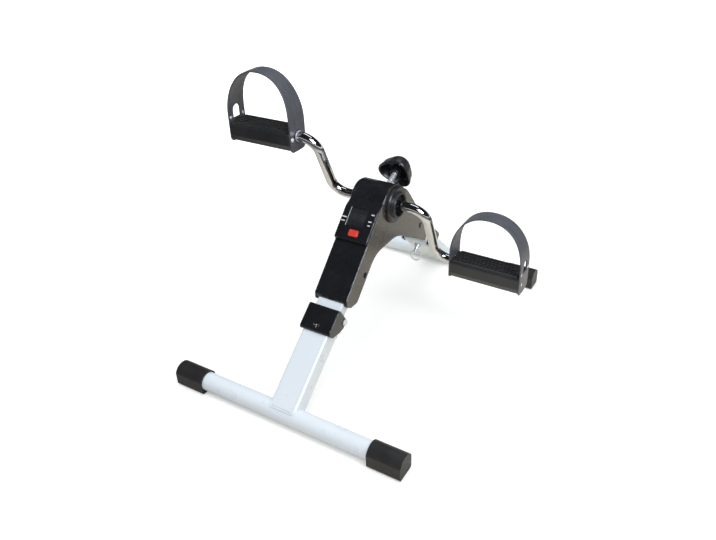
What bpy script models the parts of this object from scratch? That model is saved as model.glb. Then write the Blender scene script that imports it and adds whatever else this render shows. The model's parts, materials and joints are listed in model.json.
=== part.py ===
"""Mini exercise bike: folding frame, body with display, bent-rod crank, pedals with rigid foot hoops.

Metres, +Z up, +X to the right-hand pedal, -Y to the display end.
The origin is on the floor in the middle of the footprint.
"""
import math

import bmesh
import bpy
from mathutils import Matrix, Vector

# General
GAP = 0.0003                    # room between pieces that touch
CUT_OVERRUN = 0.004             # how far a cut runs past the face that it leaves
SCREW_EDGE = 0.0005             # softened edge of small metal pieces
ROUND_LARGE = 32                # sides of round pieces, by size
ROUND_MEDIUM = 24
ROUND_SMALL = 16
ROUND_TINY = 12
ARC_STEP = math.radians(18)     # longest step of a rounded corner

# Stance
AXLE_HEIGHT = 0.226
FRONT_REACH = 0.2712            # level distance from the axle to the front bar
REAR_REACH = 0.2228             # level distance from the axle to the rear bar
AXLE_Y = (FRONT_REACH - REAR_REACH) / 2
BAR_HEIGHT = 0.0157             # bar axis above the floor

# Hinge pins of the legs, level and down from the axle
FRONT_HINGE_LEVEL = 0.1477
FRONT_HINGE_DROP = 0.1239
REAR_HINGE_LEVEL = 0.1306
REAR_HINGE_DROP = 0.1346

# Floor bars and their end caps
BAR_RADIUS = 0.0140
BAR_WALL = 0.0015
BAR_SPAN = 0.380                # over the end caps
CAP_LENGTH = 0.050
CAP_END_WALL = 0.004
CAP_WIDTH = 0.031
CAP_TOP_RADIUS = 0.0165
CAP_CORNER = 0.004
CAP_SHOULDER = 0.001            # sides are upright to this height above the bar axis
CAP_TOP_STEP = math.radians(9)

# Legs. Distances along a leg are counted up from its hinge pin, and t outward from its middle.
LEG_WIDTH = 0.0433
LEG_DEPTH = 0.0277
LEG_WALL = 0.0015
LEG_CORNER = 0.004
PIVOT_T = -0.0085
PIVOT_RADIUS = 0.0035
PIVOT_HEAD_RADIUS = 0.0052
PIVOT_HEAD = 0.0018
EAR_ABOVE_PIVOT = 0.0065        # leg side walls end this far above the pivot
BACK_WALL_BELOW_PIVOT = 0.0045  # leg back wall ends this far below the pivot

# Hinge bracket, the tongue of the main frame
STUB_WIDTH = 0.0430
STUB_DEPTH = 0.0180
STUB_WALL = 0.0025
STUB_CORNER = 0.0020
STUB_ABOVE_PIVOT = 0.0093       # wide part starts this far above the pivot
STUB_TOP = 0.0490
STUB_FLOOR = 0.0040             # solid foot of the channel
STUB_LAP = 0.0010               # the tongue runs this far into the stub
TONGUE_WIDTH = 0.0390
TONGUE_KNUCKLE = 0.0053         # radius of the tongue round the pivot
TONGUE_SHOULDER = 0.0040
TAIL_END = 0.0180               # tongue ends this far below the pivot
TAIL_TAPER = 0.0085
TAIL_EDGE = 0.0020
TAIL_FRONT_T = -0.0010
TAIL_BACK_T = -0.0115

# Hinge cover: its side outline is given as distance above the pivot and t
COVER_WALL = 0.0034
COVER_ROUND = 0.0016
COVER_FRONT_T = 0.0186
COVER_TOP_FRONT = 0.0090
COVER_TOP_BACK = (0.0049, -0.0123)
COVER_BACK = (-0.0073, -0.0135)
COVER_SLOPE_TOP = (-0.0170, -0.0081)
COVER_SLOPE_LOW = (-0.0297, 0.0052)
COVER_LOW = -0.0310
COVER_LIP = 0.0030
COVER_EDGE = 0.0030
COVER_BACK_EDGE = 0.0050
COVER_NICK = 0.0015
COVER_SCREW_BELOW_PIVOT = 0.0215
COVER_SCREW_HEAD = 0.0040
COVER_SCREW_SHANK = 0.0019
COVER_SCREW_FLOOR = 0.0024      # cover wall under the screw head
COVER_SCREW_PAST = 0.0030       # thread past the leg wall

# Cross recess of the screw heads
DRIVE_SHARE = 0.68
DRIVE_HALF = 0.0005
DRIVE_DEPTH = 0.0008

# Lock pin and pull ring
LOCK_BELOW_PIVOT = 0.0120
LOCK_RADIUS = 0.0035
LOCK_TRAVEL = 0.0060
LOCK_NOSE_ROOM = 0.0004         # drawn pin to the back of the tongue
LOCK_HOLE_SPARE = 0.0010        # lock hole past the pushed pin
LOCK_PAST_HOLE = 0.0032
LOCK_FLAT_HALF = 0.0018
BUSHING_RADIUS = 0.0065
BUSHING_LENGTH = 0.0035
RING_RADIUS = 0.0095
RING_WIRE = 0.0010
RING_PLAY = 0.0006
RING_ROOM = 0.0012

# Body shell. Planes are given by the angle of their normal and their distance from the axle.
SHELL_HALF_WIDTH = 0.0273
SHELL_WALL = 0.0022
SHELL_ROUND = 0.0055
FACE_ANGLE = math.radians(43.9)  # rise of the front face from level
FACE_OFFSET = 0.0330             # front face from the axle
FACE_LOW_S = -0.1653             # front face ends this far down from the axle
BACK_NORMAL = math.radians(53.2)
BACK_OFFSET = 0.0295
REAR_NORMAL = math.radians(36.9)
REAR_OFFSET = 0.0375
TOP_RADIUS = 0.0300
BACK_RADIUS = 0.0400
SHELL_END_CORNER = 0.0040

# Lower corners of the shell: from the axle at the arch, from the hinge pins (above, t) at the ends
ARCH_REAR = (0.0090, -0.0570)
ARCH_REAR_RADIUS = 0.060
ARCH_FRONT = (-0.0592, -0.0570)
ARCH_FRONT_RADIUS = 0.040
SHELL_REAR_OUTER = (0.0300, 0.0116)
SHELL_REAR_INNER = (0.0285, -0.0122)
SHELL_FRONT_HEEL = (0.0354, -0.0180)
SHELL_FRONT_INNER = (0.0226, -0.0067)
SHELL_FRONT_OUTER = (0.0181, 0.0058)
STUB_ROOM = 0.0005               # room round the stub where it leaves the shell

# Shell joining screws, level and height from the axle
SHELL_SCREWS = {"front": (-0.0905, -0.0750), "rear": (0.0878, -0.0780)}
BOSS_RADIUS = 0.0050
SCREW_HEAD_RADIUS = 0.0038
SCREW_HEAD_HEIGHT = 0.0019
SCREW_SHANK_RADIUS = 0.0016
SCREW_RECESS_RADIUS = 0.0044
SCREW_RECESS_DEPTH = 0.0050
SCREW_DEPTH = 0.0160             # the screws reach this far past the middle

# Main frame inside the shell
PLATE_INNER = 0.0140
PLATE_THICKNESS = 0.0030
PLATE_CORNER = 0.0020
PLATE_INSET = 0.0010             # plates stop short of the faces of the stub
PLATE_TOP = 0.0140
PLATE_TOP_HALF = 0.0170
FRONT_PLATE_END = 0.0300         # plates end this far above the hinge pins
REAR_PLATE_END = 0.0360
FRONT_PLATE_HEEL = (0.0422, -0.0140)
PLATE_ARCH_REAR = (0.0260, -0.0560)
PLATE_ARCH_FRONT = (-0.0480, -0.0430)
PLATE_ARCH_RADIUS = 0.0200
HOUSING_RADIUS = 0.0208
HOUSING_LENGTH = 0.0106
HOUSING_LAP = 0.0014             # the housing starts this deep in its plate

# Bearings, friction drum and hub covers
BEARING_RADIUS = 0.0175
BEARING_WIDTH = 0.0104
BEARING_RACE = 0.0030
BEARING_RECESS = 0.0008
DRUM_RADIUS = 0.0176
DRUM_WIDTH = 0.0220
DRUM_LIP = 0.0024
DRUM_RECESS = 0.0040
DRUM_HUB_WALL = 0.0020
HUB_RADIUS = 0.0285
HUB_FLANGE = 0.0058
HUB_RING_RADIUS = 0.0205
HUB_RING_WALL = 0.0040
HUB_RING_OUT = 0.0100
HUB_FLOOR = 0.0030
HUB_EDGE = 0.0008
HUB_BORE_ROOM = 0.0012
HUB_SLOTS = 3
HUB_SLOT_WIDTH = 0.0060
HUB_SLOT_MARGIN = 0.0012

# Crank
ROD_RADIUS = 0.0075
CRANK_THROW = 0.1088
CRANK_ARM_X = 0.0783
CRANK_BEND = 0.0250
CRANK_ANGLE = math.radians(-65.9)  # right-hand arm from level, toward the rear
SHOULDER_X = 0.1053
SPINDLE_RADIUS = 0.0060
SPINDLE_END_X = 0.2165
SPINDLE_LAP = 0.0020
SPINDLE_PAST_NUT = 0.0006

# Pedals
PEDAL_INNER_X = 0.1074
PEDAL_OUTER_X = 0.2226
PEDAL_TOP = 0.0086
PEDAL_HALF_DEPTH = 0.0194
PEDAL_EDGE = 0.0034
PEDAL_SKIRT = -0.0100
PEDAL_BOTTOM = -0.0205
PEDAL_BOTTOM_HALF = 0.0135
PEDAL_WALL = 0.0026
PEDAL_TUBE_RADIUS = 0.0090
TREAD_RIBS = 6
TREAD_RIB_WIDTH = 0.0030
TREAD_RIB_HEIGHT = 0.0026
TREAD_RIB_INSET = 0.0040
WEIGHT_WIDTH = 0.0230
WEIGHT_HEIGHT = 0.0065
WEIGHT_LENGTH = 0.0860
WEIGHT_LEDGE = 0.0040            # floor that the weight rests on, all round
WEB_THICKNESS = 0.0020
VENT_RADIUS = 0.0026
WASHER_RADIUS = 0.0085
WASHER_THICKNESS = 0.0014
WASHER_ROOM = 0.0008
NUT_RADIUS = 0.0086
NUT_THICKNESS = 0.0042
NUT_ROOM = 0.0010
NUT_COLLAR = 0.0020

# Foot hoops
HOOP_THICKNESS = 0.0026
HOOP_TOP = 0.0910
HOOP_BASE = 0.0200              # the arch starts here
HOOP_POWER = 2.2
HOOP_FOOT_WIDTH = 0.0384
HOOP_TOP_WIDTH = 0.0285
HOOP_FOOT_BOTTOM = -0.0220
HOOP_FOOT_CORNER = 0.0080
HOOP_SLOT_HALF_LENGTH = 0.0115
HOOP_SLOT_CENTRE = 0.0215
HOOP_SLOT_RADIUS = 0.0064

# Display pod, measured up the front face (s) from the axle and out from it (t)
POD_TOP_T = 0.0395
POD_LOW_S = -0.0810
POD_HIGH_S = -0.0180
POD_WALL = 0.0020
POD_EDGE = 0.0022
POD_TOE = 0.0040
POD_SLOPE = 0.0110
WINDOW_X = (-0.0155, 0.0120)
WINDOW_S = (-0.0570, -0.0300)
WINDOW_RECESS = 0.0008
LENS_LAP = 0.0015
LCD_LAP = 0.0010
BUTTON_X = (-0.0060, 0.0090)
BUTTON_S = (-0.0735, -0.0635)
BUTTON_PROUD = 0.0016
BUTTON_TRAVEL = 0.0010
BUTTON_CORNER = 0.0016
BUTTON_EDGE = 0.0005
BUTTON_FLANGE = 0.0015
BUTTON_FLANGE_THICKNESS = 0.0012
BUTTON_STEM_RADIUS = 0.0022
BOARD_T = 0.0280
BOARD_THICKNESS = 0.0016
BOARD_HALF_WIDTH = 0.0180
BOARD_S = (-0.0780, -0.0260)
OPENING_ROOM = 0.0010
CELL_RADIUS = 0.0058
CELL_THICKNESS = 0.0036

# Brake and tension screw, measured from the axle along the screw
TENSION_ANGLE = math.radians(23.5)
BRAKE_PLAY = 0.0012              # drum to pad with the brake off
PAD_THICKNESS = 0.0018
SHOE_THICKNESS = 0.0016
SHOE_HALF_WIDTH = 0.0100
SHOE_HALF_ARC = math.radians(24)
NUT_PLATE_ROOM = 0.0012
NUT_PLATE_THICKNESS = 0.0038
NUT_PLATE_HALF = 0.0056
NUT_PLATE_HALF_WIDTH = 0.0090
STEM_RADIUS = 0.0040
STEM_ROOM = 0.0006
STEM_IN_KNOB = 0.0100
KNOB_RIM = 0.0565
KNOB_TOP = 0.0790
KNOB_RADIUS = 0.0250
KNOB_LOBE = 0.0052
KNOB_LOBES = 3
KNOB_LOBE_AT = math.radians(60)
KNOB_STEPS = 36
KNOB_TOP_SHARE = 0.78            # the top is this much of the rim
KNOB_SOFT_EDGE = 0.0060
KNOB_WALL = 0.0030
KNOB_HOLLOW = 0.0130
KNOB_BOSS_RADIUS = 0.0085

# Cadence sensor
MAGNET_RADIUS = 0.0022
MAGNET_LENGTH = 0.0030
REED_SIZE = (0.0050, 0.0140, 0.0050)
REED_ROOM = 0.0030

# Colours
FRAME_WHITE = (0.80, 0.82, 0.86)
BODY_BLACK = (0.015, 0.015, 0.018)
RUBBER_BLACK = (0.02, 0.02, 0.022)
STRAP_GREY = (0.045, 0.045, 0.05)
CHROME = (0.75, 0.76, 0.78)
STEEL = (0.45, 0.46, 0.48)
SCREEN_GREY = (0.32, 0.36, 0.33)
BUTTON_RED = (0.55, 0.02, 0.02)
BOARD_GREEN = (0.02, 0.12, 0.05)
PAD_BROWN = (0.12, 0.07, 0.04)
MATERIALS = {}


def leg_fit(reach, hinge_level, hinge_drop):
    """Lean of a leg, and the distance from its bar to its hinge pin along the leg."""
    run = reach - hinge_level
    rise = AXLE_HEIGHT - BAR_HEIGHT - hinge_drop
    span = math.hypot(run, rise)
    lean = math.atan2(run, rise) + math.asin(PIVOT_T / span)
    return lean, math.sqrt(span ** 2 - PIVOT_T ** 2)


FRONT_LEAN, FRONT_PIVOT_S = leg_fit(FRONT_REACH, FRONT_HINGE_LEVEL, FRONT_HINGE_DROP)
REAR_LEAN, REAR_PIVOT_S = leg_fit(REAR_REACH, REAR_HINGE_LEVEL, REAR_HINGE_DROP)


def polar(radius, angle):
    return (radius * math.cos(angle), radius * math.sin(angle))


def material(name, colour, roughness, metallic=0.0):
    if name not in MATERIALS:
        made = bpy.data.materials.new(name)
        made.use_nodes = True
        shader = made.node_tree.nodes["Principled BSDF"]
        shader.inputs["Base Color"].default_value = (*colour, 1.0)
        shader.inputs["Roughness"].default_value = roughness
        shader.inputs["Metallic"].default_value = metallic
        made.diffuse_color = (*colour, 1.0)
        MATERIALS[name] = made
    return MATERIALS[name]


def clear_scene():
    for old in list(bpy.data.objects):
        bpy.data.objects.remove(old, do_unlink=True)


def object_from(name, mesh):
    made = bpy.data.objects.new(name, mesh)
    bpy.context.scene.collection.objects.link(made)
    return made


def object_from_bmesh(name, shape):
    bmesh.ops.recalc_face_normals(shape, faces=shape.faces)
    mesh = bpy.data.meshes.new(name)
    shape.to_mesh(mesh)
    shape.free()
    return object_from(name, mesh)


def settle(body):
    """Bake the modifiers of an object into its mesh."""
    view = bpy.context.evaluated_depsgraph_get()
    view.update()
    baked = bpy.data.meshes.new_from_object(body.evaluated_get(view))
    old = body.data
    body.modifiers.clear()
    body.data = baked
    bpy.data.meshes.remove(old)
    return body


def combine(body, other, operation):
    step = body.modifiers.new(operation.lower(), "BOOLEAN")
    step.operation = operation
    step.solver = "EXACT"
    step.object = other
    settle(body)
    bpy.data.objects.remove(other, do_unlink=True)
    return body


def cut(body, *cutters):
    for cutter in cutters:
        combine(body, cutter, "DIFFERENCE")
    return body


def join(body, *others):
    for other in others:
        combine(body, other, "UNION")
    return body


def soften(body, width, segments=2, above=math.radians(35)):
    """Round every edge that turns by more than the given angle."""
    step = body.modifiers.new("bevel", "BEVEL")
    step.width = width
    step.segments = segments
    step.limit_method = "ANGLE"
    step.angle_limit = above
    return settle(body)


def box(low, high, name="block"):
    shape = bmesh.new()
    bmesh.ops.create_cube(shape, size=1.0)
    size = [h - l for l, h in zip(low, high)]
    middle = [(h + l) / 2 for l, h in zip(low, high)]
    bmesh.ops.scale(shape, vec=size, verts=shape.verts)
    bmesh.ops.translate(shape, vec=middle, verts=shape.verts)
    return object_from_bmesh(name, shape)


AXIS_TURN = {
    "X": Matrix.Rotation(math.radians(90), 4, "Y"),
    "Y": Matrix.Rotation(math.radians(-90), 4, "X"),
    "Z": Matrix.Identity(4),
}


def rod(radius, low, high, axis="X", centre=(0, 0), segments=ROUND_MEDIUM, name="rod"):
    """Cylinder along an axis from low to high; centre gives its other two coordinates in order."""
    shape = bmesh.new()
    bmesh.ops.create_cone(
        shape, cap_ends=True, segments=segments, radius1=radius, radius2=radius, depth=high - low)
    bmesh.ops.transform(shape, matrix=AXIS_TURN[axis], verts=shape.verts)
    middle = (low + high) / 2
    spot = {"X": (middle, *centre), "Y": (centre[0], middle, centre[1]), "Z": (*centre, middle)}[axis]
    bmesh.ops.translate(shape, vec=spot, verts=shape.verts)
    return object_from_bmesh(name, shape)


def turned(profile, segments=ROUND_LARGE, name="turned"):
    """Ring or knob turned round the X axis from a closed profile of (x, radius) points."""
    mesh = bpy.data.meshes.new(name)
    points = [(radius, 0, x) for x, radius in profile]
    edges = [(i, (i + 1) % len(points)) for i in range(len(points))]
    mesh.from_pydata(points, edges, [])
    body = object_from(name, mesh)
    spin = body.modifiers.new("screw", "SCREW")
    spin.axis = "Z"
    spin.steps = segments
    spin.render_steps = segments
    spin.use_merge_vertices = True
    spin.merge_threshold = 0.00005
    settle(body)
    shape = bmesh.new()
    shape.from_mesh(body.data)
    bmesh.ops.transform(shape, matrix=AXIS_TURN["X"], verts=shape.verts)
    bmesh.ops.recalc_face_normals(shape, faces=shape.faces)
    shape.to_mesh(body.data)
    shape.free()
    return body


PLANE_TURN = {
    "X": Matrix(((0, 0, 1, 0), (1, 0, 0, 0), (0, 1, 0, 0), (0, 0, 0, 1))),
    "Y": Matrix(((1, 0, 0, 0), (0, 0, -1, 0), (0, 1, 0, 0), (0, 0, 0, 1))),
    "Z": Matrix.Identity(4),
}


def slab(outline, low, high, axis="X", name="slab"):
    """Flat outline given thickness along an axis, from low to high.

    The outline is (y, z) for X, (x, z) for Y and (x, y) for Z.
    """
    curve = bpy.data.curves.new(name, "CURVE")
    curve.dimensions = "2D"
    curve.fill_mode = "BOTH"
    curve.extrude = (high - low) / 2
    line = curve.splines.new("POLY")
    line.points.add(len(outline) - 1)
    for point, (u, v) in zip(line.points, outline):
        point.co = (u, v, 0, 1)
    line.use_cyclic_u = True
    drawn = object_from(name, curve)
    view = bpy.context.evaluated_depsgraph_get()
    view.update()
    mesh = bpy.data.meshes.new_from_object(drawn.evaluated_get(view))
    bpy.data.objects.remove(drawn, do_unlink=True)
    shape = bmesh.new()
    shape.from_mesh(mesh)
    bpy.data.meshes.remove(mesh)
    bmesh.ops.remove_doubles(shape, verts=shape.verts, dist=1e-6)
    bmesh.ops.transform(shape, matrix=PLANE_TURN[axis], verts=shape.verts)
    middle = (low + high) / 2
    shift = {"X": (middle, 0, 0), "Y": (0, middle, 0), "Z": (0, 0, middle)}[axis]
    bmesh.ops.translate(shape, vec=shift, verts=shape.verts)
    return object_from_bmesh(name, shape)


def bent_rod(path, radius, name="bent_rod", sides=16, closed=False):
    """Round rod along a path of points."""
    curve = bpy.data.curves.new(name, "CURVE")
    curve.dimensions = "3D"
    curve.bevel_depth = radius
    curve.bevel_resolution = (sides - 4) // 2
    curve.use_fill_caps = True
    line = curve.splines.new("POLY")
    line.points.add(len(path) - 1)
    for point, spot in zip(line.points, path):
        point.co = (*spot, 1)
    line.use_cyclic_u = closed
    drawn = object_from(name, curve)
    view = bpy.context.evaluated_depsgraph_get()
    view.update()
    mesh = bpy.data.meshes.new_from_object(drawn.evaluated_get(view))
    bpy.data.objects.remove(drawn, do_unlink=True)
    shape = bmesh.new()
    shape.from_mesh(mesh)
    bpy.data.meshes.remove(mesh)
    bmesh.ops.remove_doubles(shape, verts=shape.verts, dist=1e-6)
    return object_from_bmesh(name, shape)


def rounded(corners, step=ARC_STEP):
    """Outline from (u, v, radius) corners, each rounded by an arc."""
    outline = []
    count = len(corners)
    for i, (u, v, radius) in enumerate(corners):
        here = Vector((u, v))
        before = (Vector(corners[i - 1][:2]) - here).normalized()
        after = (Vector(corners[(i + 1) % count][:2]) - here).normalized()
        half = math.acos(max(-1.0, min(1.0, before.dot(after)))) / 2
        if radius <= 0 or half > math.radians(89.5):
            outline.append((u, v))
            continue
        centre = here + (before + after).normalized() * (radius / math.sin(half))
        start = here + before * (radius / math.tan(half)) - centre
        end = here + after * (radius / math.tan(half)) - centre
        turn = math.atan2(start.x * end.y - start.y * end.x, start.dot(end))
        pieces = max(1, math.ceil(abs(turn) / step))
        for k in range(pieces + 1):
            angle = turn * k / pieces
            x = centre.x + start.x * math.cos(angle) - start.y * math.sin(angle)
            y = centre.y + start.x * math.sin(angle) + start.y * math.cos(angle)
            outline.append((x, y))
    return outline


def inset(corners, distance):
    """Move every edge of a cornered outline inward and fit the corner radii to it."""
    count = len(corners)
    area = 0.0
    for i in range(count):
        ahead = corners[(i + 1) % count]
        area += corners[i][0] * ahead[1] - ahead[0] * corners[i][1]
    side = 1.0 if area > 0 else -1.0
    moved = []
    for i, (u, v, radius) in enumerate(corners):
        here = Vector((u, v))
        into = (here - Vector(corners[i - 1][:2])).normalized()
        away = (Vector(corners[(i + 1) % count][:2]) - here).normalized()
        turn = into.x * away.y - into.y * away.x
        normal_in = Vector((-into.y, into.x)) * side
        normal_away = Vector((-away.y, away.x)) * side
        bisector = (normal_in + normal_away).normalized()
        shifted = here + bisector * (distance / bisector.dot(normal_in))
        convex = turn * side > 0
        fitted = radius - distance if convex else radius + distance
        moved.append((shifted.x, shifted.y, max(fitted, 0.0)))
    return moved


def smooth(body, angle=math.radians(32)):
    body.data.shade_smooth()
    body.data.set_sharp_from_angle(angle=angle)


def finish(body, name, look, holder):
    """Name a piece, give it its material and hang it on its frame."""
    body.name = name
    body.data.name = name
    body.data.materials.clear()
    body.data.materials.append(look)
    smooth(body)
    body.parent = holder
    return body


def frame_empty(name, place, turn=(0, 0, 0), parent=None):
    made = bpy.data.objects.new(name, None)
    made.empty_display_size = 0.02
    bpy.context.scene.collection.objects.link(made)
    made.location = place
    made.rotation_euler = turn
    made.parent = parent
    return made


# Looks
def frame_look():
    return material("white_powder_coat", FRAME_WHITE, 0.30)


def body_look():
    return material("black_gloss_plastic", BODY_BLACK, 0.25)


def cap_look():
    return material("black_soft_plastic", RUBBER_BLACK, 0.55)


def strap_look():
    return material("dark_grey_plastic", STRAP_GREY, 0.45)


def chrome_look():
    return material("chrome", CHROME, 0.12, 1.0)


def steel_look():
    return material("plain_steel", STEEL, 0.35, 1.0)


def screen_look():
    return material("display_glass", SCREEN_GREY, 0.10)


def button_look():
    return material("red_button", BUTTON_RED, 0.35)


def board_look():
    return material("circuit_board", BOARD_GREEN, 0.50)


def pad_look():
    return material("brake_lining", PAD_BROWN, 0.85)


# Floor bars and caps, x across, y and z from the bar axis
def make_bar(name, holder):
    half = BAR_SPAN / 2 - CAP_END_WALL - GAP
    bar = rod(BAR_RADIUS, -half, half, segments=ROUND_LARGE)
    past = half + CUT_OVERRUN
    cut(bar, rod(BAR_RADIUS - BAR_WALL, -past, past, segments=ROUND_LARGE))
    return finish(bar, name, frame_look(), holder)


def cap_outline():
    """Flat sole, upright sides and a round top over the tube."""
    half = CAP_WIDTH / 2
    outline = rounded([
        (-half, CAP_SHOULDER, 0.0),
        (-half, -BAR_HEIGHT, CAP_CORNER),
        (half, -BAR_HEIGHT, CAP_CORNER),
        (half, CAP_SHOULDER, 0.0),
    ])
    start = math.acos(half / CAP_TOP_RADIUS)
    steps = math.ceil((math.pi - 2 * start) / CAP_TOP_STEP)
    for k in range(steps + 1):
        outline.append(polar(CAP_TOP_RADIUS, start + (math.pi - 2 * start) * k / steps))
    return outline


def make_cap(name, side, holder):
    outer = BAR_SPAN / 2
    inner = outer - CAP_LENGTH
    cap = slab(cap_outline(), inner, outer)
    cut(cap, rod(BAR_RADIUS + GAP, inner - CUT_OVERRUN, outer - CAP_END_WALL, segments=ROUND_LARGE))
    return finish(place_side(cap, side), name, cap_look(), holder)


# Legs. In a leg frame x is across, y is inward (-t) and z is up the leg (s), all from the pivot.
def inward(t):
    """Leg-frame y of a face that stands at t, which is counted outward from the leg's middle."""
    return PIVOT_T - t


def screw_bore(radius, low, high):
    """Hole for the cover screw, square to the leg."""
    return rod(radius, low, high, axis="Y", centre=(0, -COVER_SCREW_BELOW_PIVOT), segments=ROUND_SMALL)


def make_leg(name, pivot_s, holder):
    half_w = LEG_WIDTH / 2
    front = inward(LEG_DEPTH / 2)
    back = inward(-LEG_DEPTH / 2)
    top = EAR_ABOVE_PIVOT
    leg = box((-half_w, front, -pivot_s), (half_w, back, top))
    soften_uprights(leg, LEG_CORNER)
    inner = half_w - LEG_WALL
    past_top = top + CUT_OVERRUN
    hollow = box((-inner, front + LEG_WALL, -pivot_s - CUT_OVERRUN), (inner, back - LEG_WALL, past_top))
    soften_uprights(hollow, LEG_CORNER - LEG_WALL)
    wide = half_w * 2
    cope = rod(BAR_RADIUS + GAP, -wide, wide, centre=(PIVOT_T, -pivot_s), segments=ROUND_LARGE)
    mouth = box((-inner, back - LEG_CORNER, -BACK_WALL_BELOW_PIVOT), (inner, back + CUT_OVERRUN, past_top))
    pivot = rod(PIVOT_RADIUS + GAP, -wide, wide)
    lock = rod(LOCK_RADIUS + GAP, 0, back + CUT_OVERRUN, axis="Y", centre=(0, -LOCK_BELOW_PIVOT))
    screw = screw_bore(COVER_SCREW_SHANK + GAP, front - CUT_OVERRUN, front + LEG_WALL + CUT_OVERRUN)
    cut(leg, hollow, cope, mouth, pivot, lock, screw)
    return finish(leg, name, frame_look(), holder)


def soften_uprights(body, width, segments=4):
    """Round only the edges that run along z."""
    shape = bmesh.new()
    shape.from_mesh(body.data)
    edges = [e for e in shape.edges if abs(e.verts[0].co.z - e.verts[1].co.z) > 1e-5]
    bmesh.ops.bevel(shape, geom=edges, offset=width, segments=segments, profile=0.5, affect="EDGES")
    shape.to_mesh(body.data)
    shape.free()
    return body


def cover_side():
    """Side outline of the hinge cover, in the leg frame."""
    corners = [
        (COVER_TOP_FRONT, COVER_FRONT_T, COVER_EDGE),
        (*COVER_TOP_BACK, COVER_NICK),
        (*COVER_BACK, COVER_BACK_EDGE),
        (*COVER_SLOPE_TOP, COVER_BACK_EDGE),
        (*COVER_SLOPE_LOW, COVER_EDGE),
        (COVER_LOW, COVER_FRONT_T - COVER_LIP, COVER_NICK),
        (COVER_LOW + COVER_LIP, COVER_FRONT_T, COVER_EDGE),
    ]
    return rounded([(inward(t), above, radius) for above, t, radius in corners])


def make_cover(name, holder):
    inner = LEG_WIDTH / 2 + GAP
    outer = inner + COVER_WALL
    cover = slab(cover_side(), -outer, outer)
    soften(cover, COVER_ROUND, 1)
    front = inward(LEG_DEPTH / 2 + GAP)
    far = inward(-LEG_DEPTH)
    room = box((-inner, front, -LEG_WIDTH), (inner, far, EAR_ABOVE_PIVOT + GAP))
    neck = box((-inner, inward(STUB_DEPTH / 2 + STUB_ROOM), 0), (inner, far, LEG_WIDTH))
    pivot = rod(PIVOT_RADIUS + GAP, -outer * 2, outer * 2)
    outside = inward(COVER_FRONT_T) - CUT_OVERRUN
    head_seat = screw_bore(COVER_SCREW_HEAD + GAP, outside, front - COVER_SCREW_FLOOR)
    screw = screw_bore(COVER_SCREW_SHANK + GAP, outside, front + CUT_OVERRUN)
    cut(cover, room, neck, pivot, head_seat, screw)
    return finish(cover, name, body_look(), holder)


def make_cover_screw(name, holder):
    seat = inward(LEG_DEPTH / 2 + GAP) - COVER_SCREW_FLOOR - GAP
    height = -COVER_SCREW_BELOW_PIVOT
    face = inward(COVER_FRONT_T)
    shank_end = inward(LEG_DEPTH / 2 - LEG_WALL) + COVER_SCREW_PAST
    screw = screw_bore(COVER_SCREW_HEAD, face, seat)
    soften(screw, SCREW_EDGE)
    join(screw, screw_bore(COVER_SCREW_SHANK, seat - SCREW_EDGE, shank_end))
    arm = COVER_SCREW_HEAD * DRIVE_SHARE
    floor = face + DRIVE_DEPTH
    across = box((-arm, face - CUT_OVERRUN, height - DRIVE_HALF), (arm, floor, height + DRIVE_HALF))
    upright = box((-DRIVE_HALF, face - CUT_OVERRUN, height - arm), (DRIVE_HALF, floor, height + arm))
    cut(screw, across, upright)
    return finish(screw, name, steel_look(), holder)


def make_pivot_pin(name, holder):
    seat = LEG_WIDTH / 2 + GAP + COVER_WALL + GAP
    end = seat + PIVOT_HEAD
    profile = [
        (-end, 0.0),
        (-end, PIVOT_HEAD_RADIUS - SCREW_EDGE),
        (-end + SCREW_EDGE, PIVOT_HEAD_RADIUS),
        (-seat, PIVOT_HEAD_RADIUS),
        (-seat, PIVOT_RADIUS),
        (seat, PIVOT_RADIUS),
        (seat, PIVOT_HEAD_RADIUS),
        (end - SCREW_EDGE, PIVOT_HEAD_RADIUS),
        (end, PIVOT_HEAD_RADIUS - SCREW_EDGE),
        (end, 0.0),
    ]
    return finish(turned(profile, segments=ROUND_SMALL, name=name), name, steel_look(), holder)


def make_bushing(name, holder):
    wall = inward(-LEG_DEPTH / 2 - GAP)
    outer = wall + BUSHING_LENGTH
    profile = [
        (wall, LOCK_RADIUS + GAP),
        (wall, BUSHING_RADIUS),
        (outer - SCREW_EDGE, BUSHING_RADIUS),
        (outer, BUSHING_RADIUS - SCREW_EDGE),
        (outer, LOCK_RADIUS + GAP),
    ]
    bushing = turned(profile, segments=ROUND_SMALL)
    bushing.data.transform(Matrix.Rotation(math.radians(90), 4, "Z"))
    bushing.data.transform(Matrix.Translation((0, 0, -LOCK_BELOW_PIVOT)))
    return finish(bushing, name, steel_look(), holder)


def ring_hole_y():
    """Hole for the pull ring: with the pin pushed home, the ring still clears the bushing."""
    return inward(-LEG_DEPTH / 2 - GAP) + BUSHING_LENGTH + LOCK_TRAVEL + RING_WIRE + RING_ROOM


def make_lock_pin(name, holder):
    """Sliding pin in its own frame: x across, y inward, z up the leg, from the leg pivot."""
    nose = inward(TAIL_BACK_T - LOCK_NOSE_ROOM)
    hole_y = ring_hole_y()
    end = hole_y + LOCK_PAST_HOLE
    height = -LOCK_BELOW_PIVOT
    pin = rod(LOCK_RADIUS, nose, end, axis="Y", centre=(0, height), segments=ROUND_SMALL)
    soften(pin, SCREW_EDGE)
    flat_from = hole_y - LOCK_PAST_HOLE
    for side in (-1, 1):
        low, high = sorted((side * LOCK_FLAT_HALF, side * LOCK_RADIUS * 2))
        low_z, high_z = height - LOCK_RADIUS * 2, height + LOCK_RADIUS * 2
        cut(pin, box((low, flat_from, low_z), (high, end + CUT_OVERRUN, high_z)))
    reach = LOCK_RADIUS * 2
    cut(pin, rod(RING_WIRE + RING_PLAY, -reach, reach, centre=(hole_y, height), segments=ROUND_SMALL))
    return finish(pin, name, steel_look(), holder)


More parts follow.
